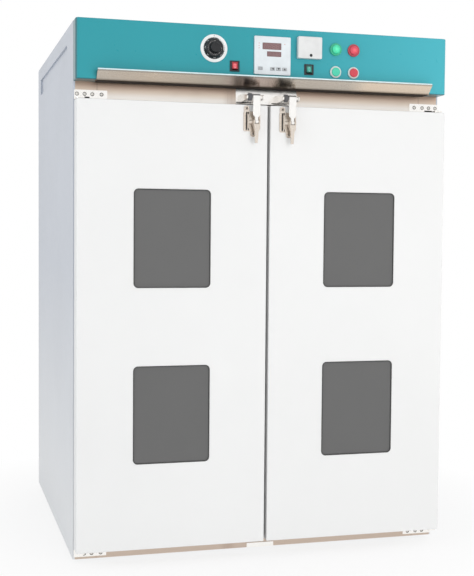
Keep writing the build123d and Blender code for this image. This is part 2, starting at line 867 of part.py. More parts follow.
# Hinges
def hinge_levels():
    """Plate height range, tongue height range and pin height range, top then bottom."""
    top_tongue = (door_z1 + tongue_clearance, door_z1 + tongue_clearance + tongue_thickness)
    top_plate = (top_tongue[0], top_tongue[0] + hinge_plate_height)
    bottom_tongue = (door_z0 - tongue_clearance - tongue_thickness, door_z0 - tongue_clearance)
    bottom_plate = (bottom_tongue[1] - hinge_plate_height * hinge_low_share, bottom_tongue[1])
    top_pin = (door_z1 - pin_depth, top_tongue[1] + pin_stand)
    bottom_pin = (bottom_tongue[0] - pin_stand, door_z0 + pin_depth)
    return (top_plate, top_tongue, top_pin), (bottom_plate, bottom_tongue, bottom_pin)


def tongue_slot(side, z):
    """The slot beside a tongue, where the plate was cut so that the tongue could be bent out."""
    near = pivot_x - tongue_width / 2 + tongue_corner_cut
    x = sorted((side * near, side * (near - tongue_relief)))
    return block(x, (frame_y - hinge_plate_thickness - 1, frame_back + 1), z)


def hinge_screw_places():
    places = []
    top, bottom = hinge_levels()
    for side in (-1, 1):
        for place in hinge_hole_places:
            x = side * (half_width - hinge_plate_inset - place)
            places.append((x, (top[0][0] + top[0][1]) / 2 + hinge_hole_lift))
            if place > pivot_inset:
                places.append((x, (bottom[0][0] + bottom[0][1]) / 2 - hinge_hole_lift))
    return places


def make_hinges():
    plates = []
    pins = []
    for side in (-1, 1):
        for plate_z, tongue_z, pin_z in hinge_levels():
            far = half_width - hinge_plate_inset
            x = sorted((side * far, side * (far - hinge_plate_width)))
            plate = block(x, (frame_y - hinge_plate_thickness, frame_y), plate_z)
            plate = fillet(plate.edges().filter_by(Axis.Y), plate_corner)
            nose_x = side * pivot_x
            reach = tongue_width / 2 - tongue_corner_cut
            tongue = block((nose_x - reach, nose_x + reach), (pivot_y - tongue_nose, frame_y), tongue_z)
            tongue = fillet(tongue.edges().filter_by(Axis.Z), tongue_corner)
            plate = plate - tongue_slot(side, tongue_z) + tongue
            plate -= rod_z(pin_r, nose_x, pivot_y, inset(tongue_z, -cut_over))
            for sx, sz in hinge_screw_places():
                if plate_z[0] < sz < plate_z[1] and sx * side > 0:
                    plate -= rod_y(screw_r, sx, through(frame_y), sz)
                    ring_y = frame_y - hinge_plate_thickness
                    plate -= rod_y(ring_r, sx, (ring_y - 1, ring_y + ring_depth), sz)
            plates.append(plate)
            pins.append(rod_z(pin_r, nose_x, pivot_y, pin_z))
    strike_z1 = fascia_z - strike_below_fascia
    strike_z = (strike_z1 - strike_height, strike_z1)
    strike = block((strike_offset - strike_width / 2, strike_offset + strike_width / 2),
                   (frame_y - hinge_plate_thickness, frame_y), strike_z)
    plates.append(fillet(strike.edges().filter_by(Axis.Y), plate_corner))
    stop = block((-stop_width / 2, stop_width / 2), (frame_y - hinge_plate_thickness, frame_y),
                 (base_z, base_z + stop_height))
    plates.append(fillet(stop.edges().filter_by(Axis.Y), 1.0))
    add("hinge_plates", *plates)
    add("hinge_pins", *pins)
    head_y = frame_y - hinge_plate_thickness + ring_depth
    screws = [screw_y(x, head_y, z) for x, z in hinge_screw_places()]
    add("frame_screws", *screws)


# Latches
def latch_tab(x0, tab):
    """The place of one round screw tab of a latch's base."""
    return x0 + tab[0], door_z1 - tab[1]


def latch_base(x0):
    """Plate with two screw tabs and two walls on the door, which carry the lever's pivot pin."""
    z1 = door_z1 - latch_plate_top
    z0 = z1 - latch_plate_height
    left = x0 - latch_plate_left
    right = x0 + latch_plate_right
    face_y = (door_y0 - latch_plate_thickness, door_y0)
    plate = rounded_y(right - left, z1 - z0, latch_plate_corner, (left + right) / 2, face_y, (z0 + z1) / 2)
    screws = []
    for tab in (latch_top_tab, latch_low_tab):
        x, z = latch_tab(x0, tab)
        toward = z1 if z > z1 else z0
        neck = block((x - latch_tab_r, x + latch_tab_r), face_y, sorted((z, toward)))
        plate += rod_y(latch_tab_r, x, face_y, z) + neck
        plate -= rod_y(screw_r, x, through(door_y0), z)
        screw = screw_y(x, door_y0 - latch_plate_thickness, z)
        screws.append(screw & rod_y(latch_tab_r, x, (door_y0 - 9, door_y0), z))
    wall_y = lever_y - ear_r / 2
    outline = [(door_y0 - 1, z0 + 1), (door_y0 - 1, z1 - 1), (wall_y, z1 - wall_top_run),
               (wall_y, z0 + wall_top_run)]
    inner = []
    for far in (left + wall_inset + wall_thickness, right):
        near = far - wall_thickness
        plate += prism_x(outline, (near, far))
        plate -= rod_x(latch_pin_r, (near - 1, far + 1), lever_y, lever_z)
        inner += [near, far]
    pin = rod_x(latch_pin_r, (inner[0], inner[3]), lever_y, lever_z)
    lever_left = x0 + arm_offset - lever_root_width / 2
    pin += rod_x(spacer_r, (inner[1] + spacer_gap, lever_left - spacer_gap), lever_y, lever_z)
    return [plate, pin] + screws


def lever_outline(arm_x, inset_by, low_z):
    """The lever's front outline of (x, z) points: wide at its root, waisted, narrow at its tip."""
    root = lever_root_width / 2 - inset_by
    waist = lever_waist_width / 2 - inset_by
    tip = lever_tip_width / 2 - inset_by
    waist_z = lever_z - lever_length * lever_waist_share
    half = [(root, lever_z + ear_r), (root, lever_z - cheek_r), (waist, waist_z), (tip, low_z)]
    return [(arm_x - w, z) for w, z in half] + [(arm_x + w, z) for w, z in reversed(half)]


def latch_lever(x0):
    """Pressed handle that hangs down, with two cheeks that carry the hook's pin."""
    arm_x = x0 + arm_offset
    half = lever_root_width / 2
    cheeks = []
    for side in (-1, 1):
        x = sorted((arm_x + side * half, arm_x + side * (half - cheek_thickness)))
        cheek = rod_x(cheek_r, x, lever_y, lever_z) + rod_x(cheek_r - 1, x, hook_y, lever_z)
        web = block(x, (hook_y, lever_y), (lever_z - cheek_r + 1, lever_z + cheek_r - 1))
        cheeks.append(cheek + web)
    root_z = lever_z - cheek_r + 1
    tip_y = door_y0 - lever_tip_out - lever_thickness
    tip_z = lever_z - lever_length
    bend_z = lever_z - lever_length * lever_bend_share
    front = [(hook_y - 3, lever_z), (hook_y - 3, root_z), (hook_y - 2, bend_z), (tip_y - 1, tip_z)]
    back = [(tip_y - 1 + lever_thickness, tip_z), (hook_y + lever_thickness, bend_z),
            (lever_y + 2, root_z), (lever_y + 2, lever_z)]
    shell = prism_x(front + back, (arm_x - half, arm_x + half))
    shell = shell & prism_y(lever_outline(arm_x, 0, tip_z), (hook_y - 40, door_y0))
    wall = cheek_thickness
    solid_z = tip_z + lever_tip_solid
    hollow_side = [(hook_y - 9, lever_z + 1), (hook_y - 9, root_z), (hook_y - 3 + wall, root_z - 0.5),
                   (hook_y - 2 + wall, bend_z), (tip_y - 1 + wall, solid_z), (lever_y + 9, solid_z),
                   (lever_y + 9, lever_z + 1)]
    hollow = prism_x(hollow_side, (arm_x - half, arm_x + half))
    hollow = hollow & prism_y(lever_outline(arm_x, wall, solid_z), (hook_y - 40, door_y0))
    lever = cheeks[0].fuse(cheeks[1], shell - hollow)
    lever -= rod_x(latch_pin_r + pin_clearance, (arm_x - 20, arm_x + 20), lever_y, lever_z)
    lever -= rod_x(latch_pin_r, (arm_x - 20, arm_x + 20), hook_y, lever_z)
    pin = rod_x(latch_pin_r, (arm_x - half, arm_x + half), hook_y, lever_z)
    return [lever, pin]


def latch_hook(x0):
    """Strap that reaches up from the lever and curls over the keeper's roller."""
    arm_x = x0 + arm_offset
    y0 = hook_y - arm_thickness / 2
    y1 = hook_y + arm_thickness / 2
    lip_y = roller_y + roller_r + hook_rear_clear
    top = roller_z + roller_r + hook_front_clear
    neck_z = lever_z + cheek_r + arm_neck_rise
    outline = [(y0, neck_z), (y0, top - 1), (y0 + 3, top + arm_thickness),
               (lip_y, top + arm_thickness), (lip_y + arm_thickness, top),
               (lip_y + arm_thickness, roller_z - hook_lip_depth), (lip_y, roller_z - hook_lip_depth),
               (lip_y, top - 1.5), (lip_y - 1.5, top), (y1 + 1.5, top), (y1, top - 1.5), (y1, neck_z)]
    arm = prism_x(outline, (arm_x - arm_width / 2, arm_x + arm_width / 2))
    wide = arm_width / 2
    neck = arm_neck_width / 2
    front = [(neck, neck_z), (wide, neck_z + arm_taper), (wide, top + 2 * arm_thickness)]
    points = [(arm_x - w, z) for w, z in front] + [(arm_x + w, z) for w, z in reversed(front)]
    arm = arm & prism_y(points, (y0 - 5, lip_y + 9))
    tang = block((arm_x - tang_width / 2, arm_x + tang_width / 2), (y0, y1), (lever_z, neck_z + 2))
    eye = rod_x(cheek_r - 1.5, (arm_x - tang_width / 2, arm_x + tang_width / 2), hook_y, lever_z)
    hook = arm + tang + eye
    return hook - rod_x(latch_pin_r + pin_clearance, (arm_x - 20, arm_x + 20), hook_y, lever_z)


def latch_keeper(x0):
    """Bracket on the strike plate: two ears with the roller between them, and a lobe for its screw."""
    middle = x0 + arm_offset - keeper_offset
    face_y = frame_y - hinge_plate_thickness
    half = keeper_gap / 2 + keeper_ear + keeper_plate_margin
    y = (face_y - keeper_plate_thickness, face_y)
    lobe_z = roller_z + keeper_lobe_height
    points = [(middle - half, roller_z - keeper_foot), (middle - half, roller_z + keeper_shoulder),
              (middle - keeper_lobe_r, lobe_z), (middle + keeper_lobe_r, lobe_z),
              (middle + half, roller_z + keeper_shoulder), (middle + half, roller_z - keeper_foot)]
    plate = prism_y(points, y) + rod_y(keeper_lobe_r, middle, y, lobe_z)
    low = roller_z - keeper_foot
    outline = [(face_y, low), (face_y, roller_z + keeper_root_height / 2),
               (roller_y, roller_z + keeper_nose_r - 0.5), (roller_y, roller_z - keeper_nose_r + 0.5)]
    for side in (-1, 1):
        x = sorted((middle + side * keeper_gap / 2, middle + side * (keeper_gap / 2 + keeper_ear)))
        plate += prism_x(outline, x) + rod_x(keeper_nose_r - 0.5, x, roller_y, roller_z)
        plate -= rod_x(latch_pin_r, (x[0] - 1, x[1] + 1), roller_y, roller_z)
    plate -= rod_y(screw_r, middle, (y[0] - 1, y[1] + 1), lobe_z)
    screw = screw_y(middle, y[0], lobe_z) & rod_y(keeper_lobe_r, middle, (y[0] - 9, face_y), lobe_z)
    reach = keeper_gap / 2 + keeper_ear + 1
    pin = rod_x(latch_pin_r, (middle - reach, middle + reach), roller_y, roller_z)
    roller = rod_x(roller_r, inset((middle - keeper_gap / 2, middle + keeper_gap / 2), roller_end_gap),
                   roller_y, roller_z)
    return [plate, pin + roller, screw]


def make_latches():
    keepers = []
    for name, x0 in zip(("left", "right"), latch_places):
        add(name + "_latch_base", *latch_base(x0))
        add(name + "_latch_lever", *latch_lever(x0))
        add(name + "_latch_hook", latch_hook(x0))
        keepers += latch_keeper(x0)
    add("latch_keepers", *keepers)


# Fascia and trim
def fascia_point(place):
    return place[0], fascia_z + place[1]


def round_cut(place, r):
    x, z = fascia_point(place)
    return rod_y(r, x, through(door_y0), z)


def square_cut(place, width, height):
    x, z = fascia_point(place)
    return block((x - width / 2, x + width / 2), through(door_y0),
                 (z - height / 2, z + height / 2))


def module_button_centre():
    return module_place[0] + module_button_place[0], module_place[1] + module_button_place[1]


def make_fascia():
    x = (-half_width, half_width)
    z = (fascia_z, top_z)
    fascia = bent_front(x, (door_y0, frame_y), z, fascia_end_r, fascia_edge_r)
    fascia -= bent_front(inset(x, sheet), (door_y0 + sheet, frame_y + 1), inset(z, sheet),
                         fascia_end_r - sheet, fascia_edge_r - sheet)
    controller_hole = controller_body + 2 * controller_clear
    cuts = [
        square_cut(controller_place, controller_hole, controller_hole),
        round_cut(dial_place, knob_shaft_r + knob_shaft_clear),
        square_cut(red_rocker_place, rocker_width + rocker_rim, rocker_height + rocker_rim),
        square_cut(green_rocker_place, rocker_width + rocker_rim, rocker_height + rocker_rim),
        round_cut(module_button_centre(), module_hole_r),
    ]
    for lamp_x in lamp_columns:
        cuts += [round_cut((lamp_x, lamp_row), barrel_r), round_cut((lamp_x, button_row), barrel_r)]
    add("control_fascia", fascia - cuts)


def make_trim():
    """A folded strip: its face slopes down and back to the fascia's lower edge and wraps under it."""
    z0 = fascia_z - sheet
    z1 = fascia_z + trim_rise
    y_out = door_y0 - trim_depth
    y_in = door_y0
    y_under = y_in + trim_under
    half = trim_length / 2
    outer = [(y_in, z1), (y_out, z1), (y_out, z1 - trim_nose), (y_in, z0)]
    under = [(y_under, z0), (y_under, z0 + sheet), (y_in, z0 + sheet)]
    inner = [(y_in, z0 + trim_slope_wall), (y_out + trim_slope_wall, z1 - sheet), (y_in, z1 - sheet)]
    strip = prism_x(outer + under + inner, (-half, half))
    strip += block((-half, half), (y_in - sheet, y_in), (z1 - trim_flange, z1 - sheet / 2))
    for end in ((-half, -half + sheet), (half - sheet, half)):
        strip += prism_x(outer + [(y_in, z0 + sheet)], end)
    add("fascia_trim", strip)


def make_controller():
    x, z = fascia_point(controller_place)
    y = door_y0
    bezel = rounded_y(controller_size, controller_size, controller_corner, x, (y - controller_bezel, y), z)
    bezel = fillet(front_edges(bezel, y - controller_bezel), 1.2)
    body = block((x - controller_body / 2, x + controller_body / 2), (y - 1, y + controller_body_depth),
                 (z - controller_body / 2, z + controller_body / 2))
    housing = bezel + body
    front = y - controller_bezel
    windows = []
    for width, height, dx, dz in display_sizes:
        y_pair = (front + display_inset, front + display_inset + display_thickness)
        housing -= rounded_y(width, height, display_corner, x + dx, (front - 1, y_pair[1]), z + dz)
        windows.append(rounded_y(width, height, display_corner, x + dx, y_pair, z + dz))
    keys = []
    for dx in key_offsets:
        kz = z + key_height_place
        housing -= rounded_y(key_width + 2 * key_clear, key_height + 2 * key_clear, key_corner + key_clear,
                             x + dx, (front - 1, front + key_body + key_travel), kz)
        key = rounded_y(key_width, key_height, key_corner, x + dx,
                        (front - key_stand, front - key_stand + key_body), kz)
        keys.append(fillet(front_edges(key, front - key_stand), 0.5))
    add("controller_housing", housing)
    add("controller_window", *windows)
    for i, key in enumerate(keys):
        add(f"controller_key_{i + 1}", key)


def make_dial():
    x, z = fascia_point(dial_place)
    plate = rod_y(dial_r, x, (door_y0 - dial_thickness, door_y0), z)
    plate = chamfer(front_edges(plate, door_y0 - dial_thickness), 0.8)
    add("dial_plate", plate - rod_y(knob_shaft_r + knob_shaft_clear, x, through(door_y0), z))
    y1 = door_y0 - dial_thickness - knob_gap
    y0 = y1 - knob_height
    skirt_y = y1 - knob_skirt
    skirt = Pos(x, (skirt_y + y1) / 2, z) * Rot(90, 0, 0) * Cone(knob_r, knob_skirt_top_r, knob_skirt)
    skirt = fillet(front_edges(skirt, skirt_y), 3)
    cap = Pos(x, (y0 + skirt_y + 1) / 2, z) * Rot(90, 0, 0)
    cap = cap * Cone(knob_cap_r, knob_cap_top_r, skirt_y + 1 - y0)
    cap = fillet(front_edges(cap, y0), 2)
    knob = skirt + cap
    grips = []
    for i in range(knob_grips):
        angle = 2 * pi * i / knob_grips
        reach = knob_r + knob_grip_r / 4
        grip_x = x + reach * cos(angle)
        grips.append(rod_y(knob_grip_r, grip_x, (skirt_y - 1, y1 + 1), z + reach * sin(angle)))
    knob -= grips
    knob -= block((x - 1, x + 1), (y0 - 1, y0 + 1.2), (z + 4, z + knob_cap_r))
    shaft = rod_y(knob_shaft_r, x, (y1 - 2, door_y0 + 20), z)
    add("temperature_knob", knob + shaft)


def rocker(place):
    x, z = fascia_point(place)
    pivot = door_y0 + rocker_pivot_depth
    across = (x - rocker_width / 2, x + rocker_width / 2)
    paddle = rod_x(rocker_sweep_r, inset(across, rocker_clear), pivot, z)
    tall = rocker_height / 2 - rocker_end_clear
    paddle = paddle & block((x - 50, x + 50), (door_y0 - 20, pivot), (z - tall, z + tall))
    hollow_y = door_y0 - rocker_rim_height - 0.6 - rocker_sweep_r * 2
    hollow = rod_x(rocker_sweep_r * 2, (x - 50, x + 50), hollow_y, z)
    pins = rod_x(rocker_pin_r, inset(across, -rocker_pin_reach), pivot, z)
    paddle = paddle - hollow + pins
    return paddle.rotate(Axis((x, pivot, z), (1, 0, 0)), -rocker_tilt)


def make_rockers():
    bezels = []
    for place in (red_rocker_place, green_rocker_place):
        x, z = fascia_point(place)
        rim = rounded_y(rocker_width + 2 * rocker_rim, rocker_height + 2 * (rocker_rim - 2), 1.5, x,
                        (door_y0 - rocker_rim_height, door_y0), z)
        rim = chamfer(front_edges(rim, door_y0 - rocker_rim_height), 0.6)
        across = (x - rocker_width / 2, x + rocker_width / 2)
        tall = (z - rocker_height / 2, z + rocker_height / 2)
        body_y = (door_y0 - 1, door_y0 + rocker_depth)
        body = block(inset(across, -rocker_wall), body_y, inset(tall, -rocker_wall))
        hole = block(across, (door_y0 - 9, door_y0 + rocker_depth - 3), tall)
        pins = rod_x(rocker_pin_r + pin_clearance, inset(across, -rocker_pin_reach - hole_clear),
                     door_y0 + rocker_pivot_depth, z)
        bezels.append(rim + body - hole - pins)
    add("rocker_bezels", *bezels)
    add("red_rocker", rocker(red_rocker_place))
    add("green_rocker", rocker(green_rocker_place))


def make_module():
    x, z = fascia_point(module_place)
    y0 = door_y0 - module_stand
    cover = rounded_y(module_width, module_height, module_corner, x, (y0, door_y0), z)
    cover = fillet(front_edges(cover, y0), 2)
    across = (x - module_width / 2, x + module_width / 2)
    tall = (z - module_height / 2, z + module_height / 2)
    cover -= block(inset(across, module_wall), (y0 + module_wall, door_y0 + 1), inset(tall, module_wall))
    bx, bz = fascia_point(module_button_centre())
    cover -= rod_y(module_button_r + push_clear, bx, (y0 - 1, y0 + 5), bz)
    add("module_cover", cover)
    button = rod_y(module_button_r, bx, (y0 - button_stand, door_y0 + 8), bz)
    add("module_button", chamfer(front_edges(button, y0 - button_stand), 0.5))


def make_indicators():
    """Two lamps above two push buttons; the buttons sit in pale collars."""
    fittings = []
    barrel_y = (door_y0 - 1, door_y0 + barrel_depth)
    bore_y = (door_y0 - 9, door_y0 + barrel_depth - 4)
    for x in lamp_columns:
        z = fascia_z + lamp_row
        barrel = rod_y(barrel_r - hole_clear, x, (door_y0, barrel_y[1]), z)
        fittings.append(barrel - rod_y(barrel_r - barrel_wall, x, bore_y, z))
        z = fascia_z + button_row
        collar = rod_y(collar_r, x, (door_y0 - collar_height, door_y0), z)
        collar = chamfer(front_edges(collar, door_y0 - collar_height), 1)
        collar += rod_y(barrel_r - hole_clear, x, barrel_y, z)
        collar -= rod_y(collar_r - collar_wall, x, (door_y0 - 9, door_y0 - 0.5), z)
        fittings.append(collar - rod_y(barrel_r - barrel_wall, x, bore_y, z))
    add("indicator_collars", *fittings)
    for colour, x in zip(("green", "red"), lamp_columns):
        z = fascia_z + lamp_row
        bezel_y = door_y0 - collar_height
        bezel = rod_y(lamp_bezel_r, x, (bezel_y, door_y0), z)
        bezel = fillet(front_edges(bezel, bezel_y), 1.5)
        dome = rod_y(lens_r, x, (door_y0 - lens_height, door_y0 - 1), z)
        add(colour + "_lamp_lens", bezel + fillet(front_edges(dome, door_y0 - lens_height), 4))
        z = fascia_z + button_row
        r = collar_r - collar_wall - push_clear
        y0 = door_y0 - collar_height - push_stand
        cap = rod_y(r, x, (y0, door_y0 - 0.5 - push_travel), z)
        cap = fillet(front_edges(cap, y0), 1.2)
        stem = rod_y(barrel_r - barrel_wall - push_clear, x, (y0 + 3, bore_y[1] - push_travel - 1), z)
        add(colour + "_push_button", cap + stem)


# Bay and rear
def make_electrics():
    x = inset((-chamber_half, chamber_half), bay_plate_margin)
    plate_y = frame_back + bay_plate_setback
    deck = bay_z + bay_plate_thickness
    parts = [block(x, (plate_y, plate_y + bay_plate_depth), (bay_z, deck))]
    cx, cy, cz = contactor_size
    contactor_y = plate_y + contactor_setback
    for i in (-1, 0, 1):
        middle = i * contactor_pitch
        across = (middle - cx / 2, middle + cx / 2)
        parts.append(block(across, (contactor_y, contactor_y + cy), (deck, deck + cz)))
    tx, ty, tz = terminal_size
    terminal_y = plate_y + terminal_setback
    across = (terminal_side, terminal_side + tx)
    parts.append(block(across, (terminal_y, terminal_y + ty), (deck, deck + tz)))
    add("electrics", *parts)


def make_gland():
    nut = rod_y(gland_r, gland_side, (rear_y, rear_y + gland_nut_length), gland_z)
    dome = rod_y(gland_dome_r, gland_side, (rear_y, rear_y + gland_length), gland_z)
    end_y = rear_y + gland_length
    dome = fillet(dome.edges().filter_by_position(Axis.Y, end_y - 0.1, end_y + 0.1), 2)
    thread = rod_y(gland_thread_r, gland_side, (rear_y - gland_inner, rear_y + 1), gland_z)
    bore = rod_y(gland_bore_r, gland_side, (rear_y - gland_inner - 1, end_y + 1), gland_z)
    add("cable_gland", nut + dome + thread - bore)


make_casing()
make_frame()
make_chamber()
make_fan()
make_exhaust()
make_hinges()
make_door("left", -1)
make_door("right", 1)
make_latches()
make_fascia()
make_trim()
make_controller()
make_dial()
make_rockers()
make_module()
make_indicators()
make_electrics()
make_gland()

for node, solids in nodes.items():
    pieces = []
    for shape in solids:
        pieces += shape.solids()
    export_step(Compound(children=pieces), f"parts/{node}.step")
print(len(nodes), "nodes")
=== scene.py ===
"""The looks of a two-door drying oven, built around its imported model."""
import json
from math import cos, pi, radians, sin

import bmesh
import bpy
from bpy.props import FloatProperty, FloatVectorProperty, IntProperty, PointerProperty
from mathutils import Matrix, Vector
from mathutils.bvhtree import BVHTree


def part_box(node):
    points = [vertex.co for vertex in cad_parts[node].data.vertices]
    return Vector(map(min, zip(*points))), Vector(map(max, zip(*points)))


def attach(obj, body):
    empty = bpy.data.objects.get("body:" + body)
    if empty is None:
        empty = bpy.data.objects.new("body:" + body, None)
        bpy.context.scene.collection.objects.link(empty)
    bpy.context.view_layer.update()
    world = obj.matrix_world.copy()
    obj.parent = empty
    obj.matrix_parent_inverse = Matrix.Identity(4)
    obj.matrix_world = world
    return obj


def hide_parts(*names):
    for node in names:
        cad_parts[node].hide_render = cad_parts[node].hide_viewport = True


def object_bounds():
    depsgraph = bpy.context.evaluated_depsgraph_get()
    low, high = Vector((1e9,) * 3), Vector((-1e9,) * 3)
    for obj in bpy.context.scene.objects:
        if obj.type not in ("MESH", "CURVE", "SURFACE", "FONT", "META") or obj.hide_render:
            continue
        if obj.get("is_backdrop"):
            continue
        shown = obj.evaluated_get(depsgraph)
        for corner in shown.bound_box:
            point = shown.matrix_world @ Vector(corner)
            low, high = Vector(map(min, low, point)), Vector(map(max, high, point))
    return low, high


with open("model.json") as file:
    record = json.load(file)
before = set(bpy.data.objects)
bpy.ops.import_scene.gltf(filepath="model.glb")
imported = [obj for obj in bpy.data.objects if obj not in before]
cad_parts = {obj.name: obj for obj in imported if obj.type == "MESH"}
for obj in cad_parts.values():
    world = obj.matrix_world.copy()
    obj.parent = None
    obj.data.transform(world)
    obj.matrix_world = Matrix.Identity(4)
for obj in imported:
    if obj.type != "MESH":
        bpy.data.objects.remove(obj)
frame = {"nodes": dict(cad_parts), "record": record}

bl_info = {
    "name": "Drying Oven Looks",
    "version": (1, 0, 0),
    "blender": (4, 5, 0),
    "location": "View3D > Sidebar > Oven",
    "description": "Finishes and small details of a two-door drying oven",
    "category": "Object",
}

CAD_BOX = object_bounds()
MM = 0.001
DOOR_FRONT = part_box("left_door_skin")[0].y
BODY_OF = {node: body for body, nodes in frame["record"]["behaviour"]["bodies"].items() for node in nodes}


def colour_property(name, description, default):
    return FloatVectorProperty(name=name, description=description, default=default, size=3,
                               min=0.0, max=1.0, subtype="COLOR")


def length_property(name, description, default):
    return FloatProperty(name=name, description=description, default=default, min=0.0, unit="LENGTH")


class OvenFinishes(bpy.types.PropertyGroup):
    """Colours and roughness of the oven's finishes."""
    door_enamel: colour_property("Door enamel", "Powder coat on the two doors", (0.86, 0.865, 0.865))
    casing_enamel: colour_property("Casing enamel", "Powder coat on the sides, top and rear",
                                   (0.555, 0.595, 0.665))
    fascia_enamel: colour_property("Fascia enamel", "Enamel on the control fascia", (0.022, 0.325, 0.38))
    stainless: colour_property("Stainless", "Brushed stainless sheet", (0.66, 0.615, 0.565))
    latch: colour_property("Latch chrome", "Plated latches", (0.80, 0.73, 0.65))
    hook: colour_property("Hook chrome", "The hooks' brighter plating", (0.95, 0.94, 0.92))
    glass: colour_property("Window glass", "Grey tinted window glass", (0.125, 0.125, 0.125))
    seal: colour_property("Silicone seal", "Door seals and window gaskets", (0.06, 0.06, 0.06))
    peel: FloatProperty(name="Orange peel", description="Height of the powder coat's orange peel",
                        default=0.06, min=0.0, max=1.0)
    wear: length_property("Wear width", "How far wear reaches in from an enamelled edge", 0.0014)


class OvenDetails(bpy.types.PropertyGroup):
    """Sizes of the small details."""
    screw_radius: length_property("Screw radius", "Head radius of the casing screws", 0.0048)
    screw_height: length_property("Screw height", "Head height of the casing screws", 0.0022)
    tick_count: IntProperty(name="Dial marks", description="Marks round the temperature dial",
                            default=31, min=2, max=120)
    tick_length: length_property("Mark length", "Length of a mark on the dial", 0.0035)
    soft_edge: length_property("Soft edge", "Radius on the edges of small metal pieces", 0.0006)
    louvre_depth: length_property("Louvre depth", "How far a rear louvre stands out", 0.006)


class OvenStage(bpy.types.PropertyGroup):
    """Floor, light and the camera's place."""
    floor: colour_property("Floor", "Colour of the floor near the oven", (0.93, 0.93, 0.93))
    sky: FloatProperty(name="Sky", description="Strength of the soft light from all round", default=0.55,
                       min=0.0)
    key: FloatProperty(name="Key", description="Power of the key light", default=62.0, min=0.0, unit="POWER")
    fill: FloatProperty(name="Fill", description="Power of the fill light", default=24.0, min=0.0,
                        unit="POWER")
    camera_side: FloatProperty(name="Camera side", description="Camera's place across", default=-0.832,
                               unit="LENGTH")
    camera_back: length_property("Camera back", "Camera's distance from the doors' front", 2.69)
    camera_height: length_property("Camera height", "Camera's height over the floor", 0.832)
    camera_yaw: FloatProperty(name="Camera yaw", description="Turn towards the right", default=radians(15.6),
                              subtype="ANGLE")
    camera_pitch: FloatProperty(name="Camera pitch", description="Tilt upwards", default=radians(-2.81),
                                subtype="ANGLE")
    camera_roll: FloatProperty(name="Camera roll", description="Roll of the frame", default=radians(0.47),
                               subtype="ANGLE")
    lens: FloatProperty(name="Lens", description="Focal length on a 36 mm long side", default=68.86, min=1.0,
                        subtype="DISTANCE_CAMERA")


# Shader nodes

class Net:
    """A short way to place and join nodes in one tree."""

    def __init__(self, tree):
        self.tree = tree

    def add(self, kind, inputs=None, **settings):
        node = self.tree.nodes.new(kind)
        for name, value in settings.items():
            setattr(node, name, value)
        for key, value in (inputs or {}).items():
            self.set(node.inputs[key], value)
        return node

    def set(self, socket, value):
        """Joins a socket or sets its value; a colour may come without its alpha."""
        if isinstance(value, bpy.types.NodeSocket):
            self.tree.links.new(value, socket)
        elif socket.type == "RGBA" and len(value) == 3:
            socket.default_value = (*value, 1.0)
        else:
            socket.default_value = value

    def math(self, operation, a, b=0.0):
        return self.add("ShaderNodeMath", {0: a, 1: b}, operation=operation).outputs[0]

    def plus(self, a, b):
        return self.math("ADD", a, b)

    def minus(self, a, b):
        return self.math("SUBTRACT", a, b)

    def times(self, a, b):
        return self.math("MULTIPLY", a, b)

    def greater(self, a, b):
        return self.math("MAXIMUM", a, b)

    def rest(self, a):
        """What a value leaves of 1."""
        return self.math("SUBTRACT", 1.0, a)

    def vector(self, operation, a, b=(0.0, 0.0, 0.0), output=0):
        return self.add("ShaderNodeVectorMath", {0: a, 1: b}, operation=operation).outputs[output]

    def parts(self, vector):
        return self.add("ShaderNodeSeparateXYZ", {0: vector}).outputs

    def combine(self, x, y, z):
        return self.add("ShaderNodeCombineXYZ", {0: x, 1: y, 2: z}).outputs[0]

    def mix(self, factor, a, b):
        return self.add("ShaderNodeMix", {0: factor, 6: a, 7: b}, data_type="RGBA").outputs[2]

    def noise(self, vector, scale, detail=3.0, roughness=0.5):
        inputs = {"Vector": vector, "Scale": scale, "Detail": detail, "Roughness": roughness}
        return self.add("ShaderNodeTexNoise", inputs).outputs["Fac"]

    def ramp(self, value, low, high):
        """0 at low, 1 at high and straight between them."""
        return self.add("ShaderNodeMapRange", {0: value, 1: low, 2: high, 3: 0.0, 4: 1.0}).outputs[0]

    def stops(self, value, low, high, stops):
        """A colour that runs through (place, colour) stops while the value goes from low to high."""
        node = self.add("ShaderNodeValToRGB", {0: self.ramp(value, low, high)})
        marks = node.color_ramp.elements
        while len(marks) < len(stops):
            marks.new(0.5)
        for mark, (place, colour) in zip(marks, stops):
            mark.position = (place - low) / (high - low)
            mark.color = (*colour, 1.0)
        return node.outputs[0]

    def near(self, value, place, width):
        """1 where a value lies at a place, fading to 0 at half a width from it."""
        return self.rest(self.ramp(self.math("ABSOLUTE", self.minus(value, place)), 0.0, width / 2))


def shaded(colour, factor):
    """A colour times a factor, held under 1."""
    return tuple(min(c * factor, 1.0) for c in colour)


SOCKETS = {"vector": "NodeSocketVector", "colour": "NodeSocketColor", "value": "NodeSocketFloat"}


def shader_group(name, inputs, outputs):
    """A new shader node group with its named sockets, and the nodes at its two ends."""
    tree = bpy.data.node_groups.new(name, "ShaderNodeTree")
    for label, (kind, default) in inputs.items():
        socket = tree.interface.new_socket(label, in_out="INPUT", socket_type=SOCKETS[kind])
        if default is not None:
            socket.default_value = default
    for label, kind in outputs.items():
        tree.interface.new_socket(label, in_out="OUTPUT", socket_type=SOCKETS[kind])
    net = Net(tree)
    return tree, net, net.add("NodeGroupInput"), net.add("NodeGroupOutput")


